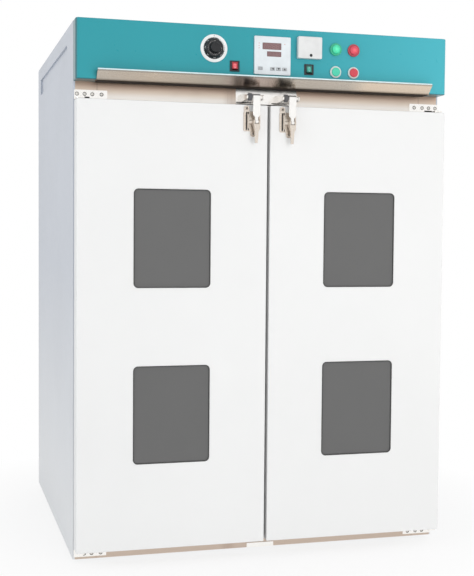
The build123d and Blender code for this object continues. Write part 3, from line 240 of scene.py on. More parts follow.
def enamel_group():
    """Powder coat: faint mottling, orange peel and worn roughness."""
    inputs = {"Vector": ("vector", None), "Colour": ("colour", (0.8, 0.8, 0.8, 1)),
              "Shade": ("colour", (0.7, 0.7, 0.7, 1)), "Mottle": ("value", 0.4),
              "Roughness": ("value", 0.35), "Peel": ("value", 0.1)}
    outputs = {"Colour": "colour", "Roughness": "value", "Height": "value"}
    tree, net, start, end = shader_group("enamel_coat", inputs, outputs)
    vector = start.outputs["Vector"]
    cloud = net.ramp(net.noise(vector, 2.2, 4.0, 0.6), 0.35, 0.72)
    fine = net.noise(vector, 60.0, 2.0)
    amount = net.times(cloud, start.outputs["Mottle"])
    colour = net.mix(amount, start.outputs["Colour"], start.outputs["Shade"])
    rough = net.plus(start.outputs["Roughness"],
                     net.times(net.minus(fine, 0.5), 0.12))
    peel = net.times(net.noise(vector, 420.0, 2.0, 0.55), start.outputs["Peel"])
    net.set(end.inputs["Colour"], colour)
    net.set(end.inputs["Roughness"], rough)
    net.set(end.inputs["Height"], peel)
    return tree


def brushed_group():
    """Brushed sheet metal: long fine streaks, broad soft variation and a few handling marks."""
    inputs = {"Vector": ("vector", None), "Along": ("vector", (1.0, 60.0, 60.0)),
              "Colour": ("colour", (0.6, 0.6, 0.6, 1)), "Shade": ("colour", (0.5, 0.45, 0.4, 1)),
              "Roughness": ("value", 0.3), "Grain": ("value", 0.2)}
    outputs = {"Colour": "colour", "Roughness": "value", "Height": "value"}
    tree, net, start, end = shader_group("brushed_sheet", inputs, outputs)
    vector, shade = start.outputs["Vector"], start.outputs["Shade"]
    streak = net.noise(net.vector("MULTIPLY", vector, start.outputs["Along"]), 6.0, 4.0, 0.65)
    broad = net.ramp(net.noise(vector, 3.0, 3.0), 0.3, 0.7)
    marks = net.ramp(net.noise(vector, 11.0, 5.0, 0.7), 0.56, 0.74)
    colour = net.mix(net.times(broad, 0.55), start.outputs["Colour"], shade)
    rough = net.plus(start.outputs["Roughness"], net.times(net.minus(streak, 0.5), 0.22))
    net.set(end.inputs["Colour"], net.mix(net.times(streak, 0.25), colour, shade))
    net.set(end.inputs["Roughness"], net.plus(rough, net.times(marks, 0.08)))
    net.set(end.inputs["Height"], net.times(streak, start.outputs["Grain"]))
    return tree


def border_group():
    """1 along a box-shaped panel's edges, broken up by noise: where enamel wears."""
    inputs = {"Vector": ("vector", None), "Middle": ("vector", (0.0, 0.0, 0.0)),
              "Half": ("vector", (1.0, 1.0, 1.0)), "Width": ("value", 0.004)}
    tree, net, start, end = shader_group("border_wear", inputs, {"Mask": "value"})
    vector = start.outputs["Vector"]
    offset = net.vector("ABSOLUTE", net.vector("SUBTRACT", vector, start.outputs["Middle"]))
    x, y, z = net.parts(net.vector("SUBTRACT", start.outputs["Half"], offset))
    nearest = net.greater(net.math("MINIMUM", x, z), net.math("MINIMUM", net.greater(x, z), y))
    patch = net.ramp(net.noise(vector, 35.0, 5.0, 0.7), 0.5, 0.75)
    net.set(end.inputs["Mask"], net.math("LESS_THAN", nearest, net.times(patch, start.outputs["Width"])))
    return tree


def dust_group():
    """A thin film of dust on faces that look up."""
    inputs = {"Vector": ("vector", None), "Colour": ("colour", (0.8, 0.8, 0.8, 1)),
              "Dust": ("colour", (0.62, 0.58, 0.52, 1)), "Amount": ("value", 0.3)}
    tree, net, start, end = shader_group("settled_dust", inputs, {"Colour": "colour", "Mask": "value"})
    normal = net.add("ShaderNodeNewGeometry").outputs["Normal"]
    up = net.ramp(net.parts(normal)[2], 0.6, 1.0)
    patch = net.ramp(net.noise(start.outputs["Vector"], 9.0, 5.0, 0.65), 0.3, 0.8)
    mask = net.times(net.times(up, patch), start.outputs["Amount"])
    net.set(end.inputs["Colour"], net.mix(mask, start.outputs["Colour"], start.outputs["Dust"]))
    net.set(end.inputs["Mask"], mask)
    return tree


GROUPS = {}


def group(name, make):
    if name not in GROUPS:
        GROUPS[name] = make()
    return GROUPS[name]


def use_group(net, name, make, **inputs):
    node = net.add("ShaderNodeGroup", node_tree=group(name, make))
    for label, value in inputs.items():
        net.set(node.inputs[label], value)
    return node


def new_material(name, metallic=0.0, roughness=0.5, coat=0.0, specular=0.5):
    """A material with its Principled BSDF and object coordinates ready."""
    material = bpy.data.materials.new(name)
    material.use_nodes = True
    net = Net(material.node_tree)
    shader = material.node_tree.nodes["Principled BSDF"]
    shader.inputs["Metallic"].default_value = metallic
    shader.inputs["Roughness"].default_value = roughness
    shader.inputs["Coat Weight"].default_value = coat
    shader.inputs["Specular IOR Level"].default_value = specular
    place = net.add("ShaderNodeTexCoord").outputs["Object"]
    return material, net, shader, place


def bump(net, shader, height, strength, distance=0.0004):
    node = net.add("ShaderNodeBump", {"Height": height, "Strength": strength, "Distance": distance})
    net.set(shader.inputs["Normal"], node.outputs["Normal"])


def enamel(name, colour, shade, roughness=0.34, mottle=0.35, coat=0.15, worn=None, dust=0.25, painted_light_ramp=None,
           painted_edge_shade=None):
    """Powder coat or enamel; worn names a panel node whose borders show wear.

    The painted light ramp is an axis, two places on it and the colour of painted light that the coat turns to
    past the second.
    The painted edge shade is the colour of the same panel's lower and left edges: painted shade where the
    sheet turns away from the light.
    """
    finishes = bpy.context.scene.oven_finishes
    material, net, shader, place = new_material(name, coat=coat, specular=0.3)
    shader.inputs["Coat Roughness"].default_value = 0.2
    base, dark = colour, shade
    # Painted light: the coat turns to another colour along an axis, where more light falls on it.
    if painted_light_ramp:
        axis, start, end, painted_light_colour = painted_light_ramp
        along = net.ramp(net.parts(place)[axis], start, end)
        base = net.mix(along, base, painted_light_colour)
        dark = net.mix(along, dark, shaded(painted_light_colour, 0.93))
    coat_node = use_group(net, "enamel_coat", enamel_group, Vector=place, Colour=base, Shade=dark,
                          Mottle=mottle, Roughness=roughness, Peel=1.0)
    result = use_group(net, "settled_dust", dust_group, Vector=place, Colour=coat_node.outputs["Colour"],
                       Amount=dust).outputs["Colour"]
    if worn:
        low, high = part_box(worn)
        mask = use_group(net, "border_wear", border_group, Vector=place, Middle=(low + high) / 2,
                         Half=(high - low) / 2, Width=finishes.wear).outputs["Mask"]
        result = net.mix(net.times(mask, 0.3), result, (0.42, 0.41, 0.40, 1.0))
    # Painted shade on the panel's lower and left edges.
    if painted_edge_shade:
        x, _, z = net.parts(place)
        bottom = net.rest(net.ramp(z, low.z + 0.001, low.z + 0.003))
        left = net.rest(net.ramp(x, low.x + 0.002, low.x + 0.005))
        result = net.mix(net.times(net.greater(bottom, left), 0.75), result, painted_edge_shade)
    net.set(shader.inputs["Base Color"], result)
    net.set(shader.inputs["Roughness"], coat_node.outputs["Roughness"])
    bump(net, shader, coat_node.outputs["Height"], finishes.peel)
    return material


def brush(net, shader, place, colour, shade, roughness, grain, along=(1.0, 60.0, 60.0)):
    """Joins a brushed sheet's group to a material's shader, and returns its colour."""
    node = use_group(net, "brushed_sheet", brushed_group, Vector=place, Along=along, Colour=colour,
                     Shade=shade, Roughness=roughness, Grain=1.0)
    net.set(shader.inputs["Base Color"], node.outputs["Colour"])
    net.set(shader.inputs["Roughness"], node.outputs["Roughness"])
    bump(net, shader, node.outputs["Height"], grain, 0.00012)
    return node.outputs["Colour"]


def brushed(name, colour, shade, roughness=0.3, along=(1.0, 60.0, 60.0), grain=0.25, metallic=1.0,
            painted_dark_top=None):
    """Brushed or plated metal; its last argument is a height over which a painted dark reflection covers it,
    and the length over which that reflection fades in.
    """
    material, net, shader, place = new_material(name, metallic=metallic)
    result = brush(net, shader, place, colour, shade, roughness, grain, along)
    # Painted reflection: the metal turns dark over the given height.
    if painted_dark_top:
        height, painted_light_ramp = painted_dark_top
        painted_reflection_mask = net.ramp(net.parts(place)[2], height, height + painted_light_ramp)
        net.set(shader.inputs["Base Color"], net.mix(net.times(painted_reflection_mask, 0.8), result, (0.06, 0.055, 0.05)))
    return material


def frame_steel(name):
    """The front frame's sheet, whose colour holds painted shadow and reflection: brown under the fascia, tan
    near the floor and darker beside the strike plate, with the thin dark joints of its stiles.
    """
    material, net, shader, place = new_material(name, metallic=1.0)
    x, _, z = net.parts(place)
    pale, brown, tan = (0.95, 0.91, 0.86), (0.60, 0.41, 0.31), (0.60, 0.49, 0.41)
    # Painted shadow and reflection: brown under the fascia, where its shadow falls, and tan near the floor,
    # which the sheet would mirror.
    colour = net.stops(z, 0.0, 1.4, [(0.0, tan), (0.06, tan), (0.5, pale), (1.170, pale),
                                     (1.183, (0.78, 0.66, 0.55)), (1.20, brown)])
    # A band of painted shade and reflection of the latch left of the strike plate, with two thin dark lines
    # of the same inside it; the outer two lines are the joints of the stiles.
    painted_shade_and_joints = net.times(net.near(x, -0.086, 0.05), 0.45)
    for upright_line in (-0.431, -0.096, -0.077, 0.433):
        painted_shade_and_joints = net.greater(painted_shade_and_joints, net.times(net.near(x, upright_line, 0.006), 0.5))
    colour = net.mix(painted_shade_and_joints, colour, (0.42, 0.31, 0.25))
    brush(net, shader, place, colour, net.mix(0.25, colour, (0.5, 0.4, 0.33)), 0.34, 0.15)
    return material


def trim_steel(name):
    """Polished strip whose colour holds painted reflection of a dark room in its middle and warm walls at its
    ends, with two paler upright lines, and painted shade under its top edge and along its lower edge.
    """
    material, net, shader, place = new_material(name, metallic=1.0)
    x, _, z = net.parts(place)
    smoke_reflection, dark, grey, sand_reflection = (0.52, 0.42, 0.37), (0.17, 0.14, 0.12), (0.57, 0.51, 0.44), (0.77, 0.64, 0.51)
    wave = net.times(net.minus(net.noise(place, 22.0, 3.0), 0.5), 0.03)
    # Painted reflection across the strip: a dark room in the middle and warm walls at the ends.
    colour = net.stops(net.plus(x, wave), -0.45, 0.45,
                       [(-0.45, (0.58, 0.52, 0.45)), (-0.30, (0.63, 0.53, 0.43)), (-0.14, (0.46, 0.41, 0.34)),
                        (-0.11, (0.42, 0.35, 0.30)), (-0.09, dark), (-0.062, (0.22, 0.18, 0.16)),
                        (-0.045, smoke_reflection), (0.003, (0.46, 0.38, 0.33)), (0.02, (0.14, 0.12, 0.10)),
                        (0.04, (0.29, 0.26, 0.22)), (0.06, grey), (0.21, grey), (0.26, sand_reflection)])
    bottom, top = (corner.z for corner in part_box("fascia_trim"))
    # Painted shade in a band just under the strip's top edge.
    painted_shade_band = net.times(net.ramp(z, top - 0.0042, top - 0.0028), 0.5)
    colour = net.mix(painted_shade_band, colour, (0.22, 0.23, 0.22))
    # Painted shade along the strip's lower edge.
    low = net.times(net.rest(net.ramp(z, bottom + 0.001, bottom + 0.004)), 0.5)
    colour = net.mix(low, colour, (0.05, 0.04, 0.03))
    for upright_line in (-0.047, 0.051):
        colour = net.mix(net.times(net.near(x, upright_line, 0.004), 0.5), colour, (0.7, 0.65, 0.58))
    brush(net, shader, place, colour, net.mix(0.12, colour, (0.1, 0.07, 0.05)), 0.24, 0.18)
    return material


def moulded(name, colour, roughness=0.4, texture=0.08, scale=900.0, coat=0.0, glow=0.0, lit=None):
    """Moulded plastic or rubber with a fine spark-eroded texture.

    lit is a CAD node, the half width and height of a clear field on its middle, and its colour.
    """
    material, net, shader, place = new_material(name, coat=coat)
    shade = shaded(colour, 0.82)
    cloud = net.ramp(net.noise(place, 40.0, 3.0), 0.3, 0.7)
    base = net.mix(net.times(cloud, 0.5), colour, shade)
    if lit:
        node, half_x, half_z, clear = lit
        low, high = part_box(node)
        x, _, z = net.parts(place)
        across = net.math("ABSOLUTE", net.minus(x, (low.x + high.x) / 2))
        tall = net.math("ABSOLUTE", net.minus(z, (low.z + high.z) / 2))
        soft = 0.0008
        inside = net.times(net.rest(net.ramp(across, half_x - soft, half_x)),
                           net.rest(net.ramp(tall, half_z - soft, half_z)))
        base = net.mix(inside, base, clear)
    net.set(shader.inputs["Base Color"], base)
    fine = net.noise(place, scale, 2.0)
    net.set(shader.inputs["Roughness"], net.plus(net.times(fine, 0.12), roughness - 0.06))
    bump(net, shader, fine, texture, 0.0002)
    if glow:
        net.set(shader.inputs["Emission Color"], colour)
        shader.inputs["Emission Strength"].default_value = glow
    return material


def window_glass(name, colour):
    material, net, shader, place = new_material(name, coat=0.4)
    smear = net.ramp(net.noise(place, 5.0, 6.0, 0.6), 0.35, 0.8)
    pale = shaded(colour, 1.12)
    net.set(shader.inputs["Base Color"], net.mix(smear, colour, pale))
    net.set(shader.inputs["Roughness"], net.plus(net.times(smear, 0.12), 0.16))
    net.set(shader.inputs["Alpha"], net.minus(0.95, net.times(smear, 0.05)))
    shader.inputs["Specular IOR Level"].default_value = 0.35
    return material


def lens_material(name, colour, node, glow=0.12):
    """Coloured lens: fine prisms under a glossy surface, with a darker rim."""
    material, net, shader, place = new_material(name, coat=0.6, roughness=0.22)
    rings = net.add("ShaderNodeTexVoronoi", {"Vector": place, "Scale": 380.0}).outputs["Distance"]
    deep = shaded(colour, 0.6)
    low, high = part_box(node)
    middle = (low + high) / 2
    flat = net.vector("MULTIPLY", net.vector("SUBTRACT", place, middle), (1.0, 0.0, 1.0))
    distance = net.vector("LENGTH", flat, output="Value")
    rim = net.ramp(distance, 0.0108, 0.0118)
    face = net.mix(net.ramp(rings, 0.1, 0.7), deep, colour)
    pale = tuple(min(c * 1.1 + 0.06, 1.0) for c in colour)
    face = net.mix(net.rest(net.ramp(distance, 0.001, 0.008)), face, pale)
    net.set(shader.inputs["Base Color"], net.mix(rim, face, shaded(colour, 0.5)))
    bump(net, shader, rings, 0.15, 0.0003)
    shader.inputs["Subsurface Weight"].default_value = 0.15
    shader.inputs["Subsurface Scale"].default_value = 0.003
    net.set(shader.inputs["Emission Color"], colour)
    shader.inputs["Emission Strength"].default_value = glow
    return material


def mineral_wool(name):
    material, net, shader, place = new_material(name, roughness=0.95, specular=0.1)
    fibres = net.noise(place, 160.0, 8.0, 0.8)
    net.set(shader.inputs["Base Color"], net.mix(fibres, (0.5, 0.4, 0.2, 1), (0.8, 0.72, 0.5, 1)))
    bump(net, shader, fibres, 0.9, 0.002)
    return material


MATERIALS = {}


def make_materials():
    finishes = bpy.context.scene.oven_finishes
    steel = tuple(finishes.stainless)
    steel_shade = (0.50, 0.43, 0.37)
    m = MATERIALS
    door = tuple(finishes.door_enamel)
    door_shade = shaded(door, 0.955)
    for side in ("left", "right"):
        m[side + "_door"] = enamel(side + "_door_enamel", door, door_shade, 0.36, 0.5,
                                   worn=side + "_door_skin")
    casing = tuple(finishes.casing_enamel)
    # Painted light: the casing's coat turns paler towards the floor.
    m["casing"] = enamel("casing_enamel", casing, shaded(casing, 0.9), 0.4, 0.6,
                         painted_light_ramp=(2, 0.75, 0.1, (0.76, 0.78, 0.80)))
    teal = tuple(finishes.fascia_enamel)
    # Painted light: the fascia's coat turns brighter towards the right; its lower and left edges carry
    # painted shade.
    m["fascia"] = enamel("fascia_enamel", teal, shaded(teal, 0.93), 0.3, 0.45, coat=0.15,
                         worn="control_fascia", dust=0.15, painted_light_ramp=(0, 0.0, 0.5, (0.062, 0.46, 0.545)),
                         painted_edge_shade=(0.03, 0.10, 0.12))
    m["steel_x"] = brushed("stainless_across", steel, steel_shade, 0.36)
    m["steel_z"] = brushed("stainless_upright", steel, steel_shade, 0.34, along=(60.0, 60.0, 1.0))
    m["liner"] = brushed("stainless_liner", (0.62, 0.61, 0.59), (0.5, 0.48, 0.45), 0.3,
                         along=(60.0, 60.0, 1.0))
    m["plate"] = brushed("hinge_plate_steel", (0.99, 0.97, 0.94), (0.93, 0.91, 0.88), 0.2, grain=0.06)
    m["frame"] = frame_steel("front_frame_steel")
    m["trim"] = trim_steel("trim_strip_steel")
    m["latch"] = brushed("latch_plating", tuple(finishes.latch), (0.62, 0.54, 0.47), 0.24,
                         along=(9.0, 9.0, 1.0), grain=0.08, metallic=0.8)
    # The hooks turn dark over their top edges: a painted reflection of the fascia's underside.
    m["hook"] = brushed("hook_plating", tuple(finishes.hook), (0.84, 0.82, 0.79), 0.22,
                        along=(9.0, 9.0, 1.0), grain=0.08, metallic=0.6,
                        painted_dark_top=(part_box("left_latch_hook")[1].z - 0.005, 0.0014))
    m["keeper"] = brushed("keeper_plating", (0.98, 0.96, 0.93), (0.82, 0.79, 0.75), 0.22,
                          along=(30.0, 30.0, 30.0), grain=0.08)
    m["pale_screw"] = brushed("plated_screw", (0.92, 0.90, 0.86), (0.74, 0.71, 0.66), 0.3, grain=0.06,
                              metallic=0.5)
    m["screw"] = brushed("screw_steel", (0.55, 0.53, 0.50), (0.35, 0.33, 0.31), 0.32, grain=0.1)
    m["dark_screw"] = brushed("blackened_screw", (0.16, 0.14, 0.12), (0.08, 0.07, 0.06), 0.35, grain=0.05)
    m["zinc"] = brushed("zinc_sheet", (0.56, 0.58, 0.6), (0.45, 0.47, 0.5), 0.45)
    m["heater"] = brushed("heater_tube", (0.28, 0.24, 0.21), (0.16, 0.13, 0.11), 0.5, along=(1.0, 30.0, 30.0))
    m["aluminium"] = brushed("fan_aluminium", (0.78, 0.78, 0.79), (0.62, 0.62, 0.64), 0.35,
                             along=(6.0, 6.0, 6.0))
    m["motor"] = enamel("motor_paint", (0.09, 0.11, 0.14), (0.06, 0.07, 0.09), 0.45)
    m["glass"] = window_glass("tinted_window", tuple(finishes.glass))
    m["seal"] = moulded("silicone_seal", tuple(finishes.seal), 0.65, 0.15, 300.0)
    m["rubber"] = moulded("foot_rubber", (0.03, 0.03, 0.03), 0.75, 0.3, 260.0)
    m["buffer"] = moulded("grey_buffer", (0.10, 0.10, 0.105), 0.55, 0.2, 260.0)
    m["white"] = moulded("white_plastic", (0.78, 0.79, 0.79), 0.36, 0.05)
    m["collar"] = moulded("collar_plastic", (0.72, 0.78, 0.76), 0.25, 0.03, coat=0.4)
    m["grey"] = moulded("key_plastic", (0.50, 0.52, 0.54), 0.45, 0.08)
    m["black"] = moulded("black_plastic", (0.006, 0.007, 0.009), 0.3, 0.1, coat=0.05)
    m["bright_white"] = moulded("dial_ring_plastic", (0.93, 0.95, 0.95), 0.3, 0.03)
    m["paint_white"] = moulded("white_print_and_highlight", (0.86, 0.86, 0.84), 0.45, 0.03)
    # A pale finish of painted highlight, for the strip along the trim's top edge.
    m["painted_highlight"] = moulded("trim_painted_highlight", (0.74, 0.92, 0.95), 0.25, 0.03, coat=0.3)
    # Dark finish of painted shade, for the rings in the screws' counterbores, the slots' backs and the strike
    # plate's lower edge.
    m["hole"] = moulded("dark_hole", (0.03, 0.025, 0.022), 0.8, 0.3, 220.0)
    m["led"] = moulded("led_lens", (0.62, 0.36, 0.36), 0.3, 0.02)
    m["screen"] = moulded("display_window", (0.22, 0.125, 0.13), 0.25, 0.0)
    m["segment"] = moulded("display_segment", (0.32, 0.19, 0.19), 0.4, 0.02)
    m["ink"] = moulded("printed_ink", (0.05, 0.055, 0.06), 0.6, 0.02)
    m["grey_ink"] = moulded("grey_print", (0.20, 0.22, 0.25), 0.6, 0.02)
    m["face"] = moulded("controller_face", (0.79, 0.84, 0.875), 0.42, 0.04, 500.0)
    # Dark finish of painted shade, for the strip under the fascia.
    m["underside_shade"] = moulded("underside_painted_shade", (0.035, 0.024, 0.018), 0.85, 0.4, 220.0)
    # The red and green push buttons glow faintly: painted light, as they are no lamps.
    m["red"] = moulded("red_plastic", (0.62, 0.045, 0.07), 0.28, 0.04, coat=0.3, glow=0.05)
    m["green"] = moulded("green_plastic", (0.06, 0.62, 0.42), 0.28, 0.04, coat=0.3, glow=0.05)
    m["red_rocker"] = moulded("red_rocker_plastic", (0.42, 0.015, 0.03), 0.28, 0.04, coat=0.3,
                              lit=("red_rocker", 0.0048, 0.0058, (0.85, 0.13, 0.16)))
    m["green_rocker"] = moulded("green_rocker_plastic", (0.01, 0.16, 0.13), 0.28, 0.04, coat=0.3,
                                lit=("green_rocker", 0.0048, 0.0058, (0.06, 0.42, 0.34)))
    m["bezel"] = moulded("rocker_bezel_plastic", (0.02, 0.02, 0.024), 0.34, 0.08)
    m["red_lens"] = lens_material("red_lens", (0.72, 0.05, 0.09), "red_lamp_lens")
    m["green_lens"] = lens_material("green_lens", (0.04, 0.72, 0.40), "green_lamp_lens")
    m["wool"] = mineral_wool("mineral_wool")


CAD_FINISHES = {
    "left_door": ["left_door_skin"],
    "right_door": ["right_door_skin"],
    "casing": ["left_side_panel", "right_side_panel", "top_cover", "rear_cover"],
    "fascia": ["control_fascia"],
    "frame": ["front_frame"],
    "steel_x": ["air_baffle", "shelf_rails"],
    "steel_z": ["left_door_liner", "right_door_liner", "exhaust_duct", "exhaust_damper", "temperature_probe"],
    "liner": ["inner_chamber"],
    "aluminium": ["wire_shelves", "fan_wheel"],
    "plate": ["hinge_plates"],
    "trim": ["fascia_trim"],
    "latch": ["left_latch_base", "right_latch_base", "left_latch_lever", "right_latch_lever"],
    "hook": ["left_latch_hook", "right_latch_hook"],
    "keeper": ["latch_keepers"],
    "screw": ["hinge_pins"],
    "pale_screw": ["frame_screws"],
    "zinc": ["base_pan"],
    "heater": ["heating_elements"],
    "motor": ["circulation_motor"],
    "glass": ["left_door_glass", "right_door_glass"],
    "seal": ["left_door_seals", "right_door_seals"],
    "rubber": ["levelling_feet"],
    "face": ["controller_housing"],
    "bright_white": ["dial_plate"],
    "white": ["module_cover"],
    "collar": ["indicator_collars"],
    "grey": ["controller_key_1", "controller_key_2", "controller_key_3", "controller_key_4", "electrics"],
    "black": ["temperature_knob", "module_button", "cable_gland"],
    "bezel": ["rocker_bezels"],
    "screen": ["controller_window"],
    "red": ["red_push_button"],
    "green": ["green_push_button"],
    "red_rocker": ["red_rocker"],
    "green_rocker": ["green_rocker"],
    "red_lens": ["red_lamp_lens"],
    "green_lens": ["green_lamp_lens"],
    "wool": ["chamber_insulation", "left_door_insulation", "right_door_insulation"],
}

# Hard pieces that get rounded edges, and plain ones that stay as the CAD has them;
# the others are only smoothed
SOFT_EDGED = ("latch_keepers", "left_latch_base", "right_latch_base", "left_latch_lever", "right_latch_lever",
              "left_latch_hook", "right_latch_hook", "hinge_plates", "fascia_trim", "rocker_bezels",
              "controller_housing", "left_door_liner", "right_door_liner", "shelf_rails",
              "electrics", "air_baffle", "top_cover", "rear_cover")
PLAIN = ("base_pan", "controller_window", "chamber_insulation", "left_door_insulation",
         "right_door_insulation")


def finish_of(node):
    for finish, members in CAD_FINISHES.items():
        if node in members:
            return finish
    raise ValueError(f"{node} has no finish")


def paint(obj, material):
    obj.data.materials.clear()
    obj.data.materials.append(material)


def smooth_by_angle(mesh, angle=35.0):
    """Smooth shading, kept sharp where faces meet at more than the angle."""
    edit = bmesh.new()
    edit.from_mesh(mesh)
    for face in edit.faces:
        face.smooth = True
    for edge in edit.edges:
        edge.smooth = len(edge.link_faces) == 2 and edge.calc_face_angle(0.0) < radians(angle)
    edit.to_mesh(mesh)
    edit.free()


def mesh_from(edit, name):
    """A new mesh from an edit mesh, which is freed."""
    mesh = bpy.data.meshes.new(name)
    edit.to_mesh(mesh)
    edit.free()
    return mesh


def join_rows(edit, rows, ring):
    """Faces between each row of verts and the next, and between the last and the first in a ring."""
    for row, after in zip(rows, rows[1:] + rows[:1] if ring else rows[1:]):
        for j in range(len(row)):
            k = (j + 1) % len(row)
            edit.faces.new((row[j], after[j], after[k], row[k]))


def piece_from(mesh, name, body, finish):
    """A new object with its place in its mesh, painted and riding on a body."""
    obj = bpy.data.objects.new(name, mesh)
    bpy.context.scene.collection.objects.link(obj)
    paint(obj, MATERIALS[finish])
    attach(obj, body)
    return obj


def solids_of(mesh):
    """The faces of each closed solid in a CAD mesh, as lists of corner places.

    A CAD mesh holds its solids one after another, and a solid is whole when every edge met so far
    has been met twice. Solids that touch stay apart in this way.
    """
    open_edges, faces = set(), []
    for polygon in mesh.polygons:
        corners = [tuple(round(c, 6) for c in mesh.vertices[i].co) for i in polygon.vertices]
        if len(set(corners)) == len(corners):
            faces.append(corners)
            for a, b in zip(corners, corners[1:] + corners[:1]):
                open_edges ^= {(min(a, b), max(a, b))}
        if faces and not open_edges:
            yield faces
            faces = []
    if faces:
        yield faces


def softened(node, width):
    """A copy of a CAD piece with merged faces and smooth shading, which stands for it.

    Where width isn't 0 its edges are rounded too.
    """
    source = frame["nodes"][node]
    edit = bmesh.new()
    for faces in solids_of(source.data):
        verts = {}
        for corners in faces:
            for corner in corners:
                if corner not in verts:
                    verts[corner] = edit.verts.new(corner)
            edit.faces.new([verts[corner] for corner in corners])
        bmesh.ops.remove_doubles(edit, verts=list(verts.values()), dist=0.00002)
    bmesh.ops.dissolve_limit(edit, angle_limit=radians(1.0), verts=edit.verts, edges=edit.edges)
    bmesh.ops.triangulate(edit, faces=[face for face in edit.faces if len(face.verts) > 4])
    mesh = mesh_from(edit, node + "_soft")
    smooth_by_angle(mesh)
    obj = bpy.data.objects.new(node + "_soft", mesh)
    bpy.context.scene.collection.objects.link(obj)
    if width:
        bevel = obj.modifiers.new("Soft edge", "BEVEL")
        bevel.width = width
        bevel.segments = 2
        bevel.limit_method = "ANGLE"
        bevel.angle_limit = radians(40.0)
        bevel.use_clamp_overlap = True
    weighted = obj.modifiers.new("Flat faces", "WEIGHTED_NORMAL")
    weighted.keep_sharp = True
    weighted.weight = 90
    baked = bpy.data.meshes.new_from_object(obj.evaluated_get(bpy.context.evaluated_depsgraph_get()))
    obj.modifiers.clear()
    obj.data = baked
    bpy.data.meshes.remove(mesh)
    paint(obj, MATERIALS[finish_of(node)])
    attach(obj, BODY_OF[node])
    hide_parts(node)
    return obj


def slab(name, low, high, body, finish, rounding):
    """A box between two corners, with its edges rounded."""
    edit = bmesh.new()
    size = Vector(high) - Vector(low)
    middle = (Vector(high) + Vector(low)) / 2
    place = Matrix.Translation(middle) @ Matrix.Diagonal((*size, 1.0))
    bmesh.ops.create_cube(edit, size=1.0, matrix=place)
    bmesh.ops.bevel(edit, geom=edit.edges[:], offset=rounding, segments=2, profile=0.5, affect="EDGES")
    mesh = mesh_from(edit, name)
    smooth_by_angle(mesh)
    return piece_from(mesh, name, body, finish)


def plaque(name, outlines, y, body, finish):
    """Upright plates from outlines of (x, z) points, as deep along Y as the pair y says."""
    edit = bmesh.new()
    for outline in outlines:
        front = edit.faces.new([edit.verts.new((px, y[0], pz)) for px, pz in outline])
        grown = bmesh.ops.extrude_face_region(edit, geom=[front])
        moved = [v for v in grown["geom"] if isinstance(v, bmesh.types.BMVert)]
        bmesh.ops.translate(edit, verts=moved, vec=(0.0, y[1] - y[0], 0.0))
    bmesh.ops.recalc_face_normals(edit, faces=edit.faces)
    return piece_from(mesh_from(edit, name), name, body, finish)


def rectangle(x0, z0, x1, z1):
    return [(x0, z0), (x1, z0), (x1, z1), (x0, z1)]


def lathe(name, profile, centre, body, finish, segments=64, sweep=None):
    """A ring turned round a Y axis from a closed profile of (radius, y) points.

    sweep is a pair of angles where only a stretch of the ring is made, closed at its ends.
    """
    edit = bmesh.new()
    start, end = sweep or (0.0, 2 * pi)
    rows = []
    for i in range(segments + 1 if sweep else segments):
        angle = start + (end - start) * i / segments
        rows.append([edit.verts.new((centre[0] + r * cos(angle), y, centre[1] + r * sin(angle)))
                     for r, y in profile])
    join_rows(edit, rows, ring=not sweep)
    if sweep:
        edit.faces.new(rows[0])
        edit.faces.new(rows[-1])
    bmesh.ops.recalc_face_normals(edit, faces=edit.faces)
    mesh = mesh_from(edit, name)
    smooth_by_angle(mesh)
    return piece_from(mesh, name, body, finish)


# Geometry nodes

def geometry_tree(name, sizes):
    """A new geometry tree with a cloud of points and named sizes as its inputs.

    Returns its net, its input node and the sockets of the sizes.
    """
    tree = bpy.data.node_groups.new(name, "GeometryNodeTree")
    tree.interface.new_socket("Geometry", in_out="INPUT", socket_type="NodeSocketGeometry")
    for label, value in sizes.items():
        kind = "NodeSocketInt" if isinstance(value, int) else "NodeSocketFloat"
        tree.interface.new_socket(label, in_out="INPUT", socket_type=kind).default_value = value
    tree.interface.new_socket("Material", in_out="INPUT", socket_type="NodeSocketMaterial")
    tree.interface.new_socket("Geometry", in_out="OUTPUT", socket_type="NodeSocketGeometry")
    net = Net(tree)
    start = net.add("NodeGroupInput")
    return net, start, [start.outputs[label] for label in sizes]


def close_tree(net, start, instance, aligned=True):
    """Ends a tree: an instance on each point, realized, with the material set.

    Where aligned, its +Z turns to the point's facing.
    """
    points = net.add("GeometryNodeMeshToPoints", {0: start.outputs["Geometry"]})
    placed = net.add("GeometryNodeInstanceOnPoints", {"Points": points.outputs[0], "Instance": instance})
    if aligned:
        facing = net.add("GeometryNodeInputNamedAttribute", {"Name": "facing"}, data_type="FLOAT_VECTOR")
        turn = net.add("FunctionNodeAlignRotationToVector", {"Vector": facing.outputs[0]}, axis="Z")
        net.set(placed.inputs["Rotation"], turn.outputs[0])
    real = net.add("GeometryNodeRealizeInstances", {0: placed.outputs[0]})
    inputs = {"Geometry": real.outputs[0], "Material": start.outputs["Material"]}
    painted = net.add("GeometryNodeSetMaterial", inputs)
    net.set(net.add("NodeGroupOutput").inputs[0], painted.outputs[0])
    return net.tree


def moved(net, geometry, **how):
    """A geometry after a transform with the named inputs."""
    return net.add("GeometryNodeTransform", {"Geometry": geometry, **how}).outputs[0]


def cut_away(net, geometry, cutters):
    """A geometry less each of the closed cutters."""
    cut = net.add("GeometryNodeMeshBoolean", {0: geometry}, operation="DIFFERENCE")
    for cutter in cutters:
        net.set(cut.inputs[1], cutter)
    return cut.outputs[0]


